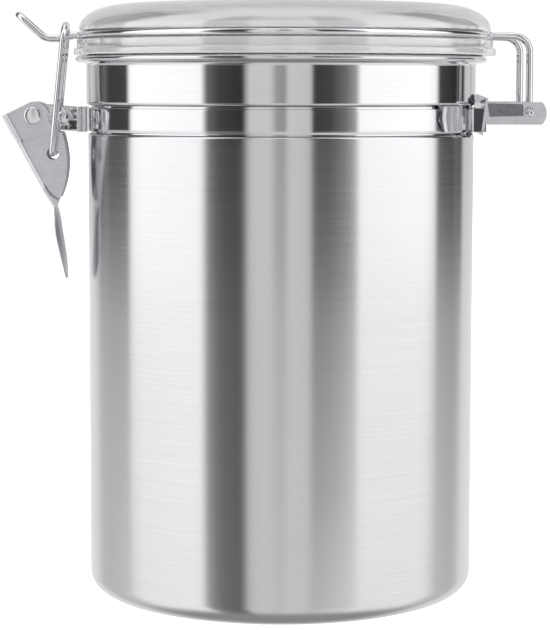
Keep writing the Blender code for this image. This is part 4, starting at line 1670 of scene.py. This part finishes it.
@dataclass
class Studio:
    """The pale floor, the ring of light and the camera, around a canister that stands at `low`."""

    low: Vector
    sensor: float = 36.0
    lens: float = 128.47
    camera_place: tuple[float, float, float] = (-1.775, -715.94, 161.26)
    camera_turn: float = -1.8
    camera_pitch: float = 0.1021
    camera_roll: float = 0.0015

    def make_world(self) -> None:
        """Light the scene with a ring of soft panels: pale to the camera, banded in reflections."""
        world = bpy.data.worlds.new("studio")
        bpy.context.scene.world = world
        world.use_nodes = True
        tree = world.node_tree
        background = tree.nodes["Background"]
        direction = add_node(tree, "ShaderNodeTexCoord").outputs["Generated"]
        parts = add_node(tree, "ShaderNodeSeparateXYZ", links={"Vector": direction})
        toward = add_node(
            tree,
            "ShaderNodeMath",
            settings={"operation": "MULTIPLY"},
            links={0: parts.outputs["Y"]},
        )
        toward.inputs[1].default_value = -1.0
        azimuth = add_node(
            tree,
            "ShaderNodeMath",
            settings={"operation": "ARCTAN2"},
            links={0: parts.outputs["X"], 1: toward.outputs["Value"]},
        )
        share = add_node(
            tree,
            "ShaderNodeMapRange",
            values={"From Min": -math.pi, "From Max": math.pi},
            links={"Value": azimuth.outputs["Value"]},
        )
        ring = None
        for index, (start, end) in enumerate(((0, 0), (-0.085, -0.045), (-0.155, -0.118))):
            bands = add_node(tree, "ShaderNodeValToRGB", links={"Fac": share.outputs["Result"]})
            stops = []
            for panel in PANELS:
                tone = panel[1 + index] / WORLD_STRENGTH
                stops.append(((panel[0] + 180) / 360, (tone, tone, tone, 1)))
            ramp_stops(bands, stops)
            if ring is None:
                ring = bands.outputs["Color"]
                continue
            height = add_node(
                tree,
                "ShaderNodeMapRange",
                settings={"interpolation_type": "SMOOTHSTEP"},
                values={"From Min": start, "From Max": end},
                links={"Value": parts.outputs["Z"]},
            )
            ring = add_node(
                tree,
                "ShaderNodeMix",
                settings={"data_type": "RGBA"},
                links={"Factor": height.outputs["Result"], "A": bands.outputs["Color"], "B": ring},
            ).outputs["Result"]
        overhead = add_node(
            tree,
            "ShaderNodeMapRange",
            settings={"interpolation_type": "SMOOTHSTEP"},
            values={"From Min": 0.8, "From Max": 0.97},
            links={"Value": parts.outputs["Z"]},
        )
        ceiling = add_node(
            tree,
            "ShaderNodeMix",
            settings={"data_type": "RGBA"},
            links={"Factor": overhead.outputs["Result"], "A": ring},
        )
        ceiling.inputs["B"].default_value = (*[CEILING_TONE] * 3, 1)
        ground = add_node(
            tree,
            "ShaderNodeMapRange",
            settings={"interpolation_type": "SMOOTHSTEP"},
            values={"From Min": -0.62, "From Max": -0.9},
            links={"Value": parts.outputs["Z"]},
        )
        around = add_node(
            tree,
            "ShaderNodeMix",
            settings={"data_type": "RGBA"},
            links={"Factor": ground.outputs["Result"], "A": ceiling.outputs["Result"]},
        )
        around.inputs["B"].default_value = (*[GROUND_TONE] * 3, 1)
        path = add_node(tree, "ShaderNodeLightPath")
        seen = add_node(
            tree,
            "ShaderNodeMath",
            settings={"operation": "MULTIPLY_ADD"},
            links={0: path.outputs["Is Transmission Ray"], 2: path.outputs["Is Camera Ray"]},
        )
        seen.inputs[1].default_value = 1.0
        white = add_node(
            tree,
            "ShaderNodeMix",
            settings={"data_type": "RGBA"},
            links={"Factor": seen.outputs["Value"], "A": around.outputs["Result"]},
        )
        white.inputs["B"].default_value = (*[BACKDROP_TONE] * 3, 1)
        background.inputs["Strength"].default_value = WORLD_STRENGTH
        tree.links.new(white.outputs["Result"], background.inputs["Color"])

    def make_floor(self) -> None:
        """Lay a wide pale floor under the canister."""
        clear_selection()
        bpy.ops.mesh.primitive_circle_add(
            vertices=96, radius=6.0, fill_type="NGON", location=(0, 0, self.low.z - 0.2 * MM)
        )
        floor = bpy.context.object
        floor.name = "floor"
        material = bpy.data.materials.new("pale_paper")
        material.use_nodes = True
        shader = material.node_tree.nodes["Principled BSDF"]
        shader.inputs["Base Color"].default_value = linear("#F4F4F4")
        shader.inputs["Roughness"].default_value = 0.9
        shader.inputs["Emission Color"].default_value = linear("#FFFFFF")
        shader.inputs["Emission Strength"].default_value = 0.95
        floor.data.materials.append(material)
        floor.visible_glossy = False
        floor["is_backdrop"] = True

    def make_camera(self) -> None:
        """Set the camera at the viewing distance and height."""
        camera_data = bpy.data.cameras.new("camera")
        camera = bpy.data.objects.new("camera", camera_data)
        bpy.context.scene.collection.objects.link(camera)
        camera_data.sensor_width = self.sensor
        camera_data.lens = self.lens
        camera_data.clip_start = 0.05
        camera_data.clip_end = 30.0
        camera.matrix_world = (
            Matrix.Rotation(math.radians(self.camera_turn), 4, "Z")
            @ Matrix.Translation(Vector(self.camera_place) * MM)
            @ Matrix.Rotation(math.pi / 2 - self.camera_pitch, 4, "X")
            @ Matrix.Rotation(self.camera_roll, 4, "Z")
        )
        bpy.context.scene.camera = camera

    def build(self) -> None:
        """Make the world, the floor and the camera."""
        self.make_world()
        self.make_floor()
        self.make_camera()
        bpy.context.scene.view_settings.view_transform = "Standard"


def main() -> None:
    """Build the canister's looks, part by part."""
    logging.basicConfig(level=logging.INFO, format="%(message)s")
    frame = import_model()
    cad_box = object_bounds()
    finishes = Finishes()
    canister = Canister(finishes)
    canister.make_shell()
    canister.make_band()
    hinge_axis = joint_place(frame, "lid_hinge")
    lid = Lid(finishes, hinge_axis)
    lid.make_dome()
    lid.make_gasket()
    lid.make_wire()
    hinge = HingeBracket(finishes, hinge_axis)
    hinge.make()
    hinge.make_clip("crimp_clip_front", "band_clip_front", -1)
    hinge.make_clip("crimp_clip_rear", "band_clip_rear", 1)
    latch = Latch(finishes, joint_place(frame, "lever_pivot"), joint_place(frame, "loop_pivot"))
    latch.make_bracket()
    latch.make_lever()
    latch.make_rivet()
    latch.make_loop()
    Studio(cad_box[0]).build()


if __name__ == "__main__":
    main()
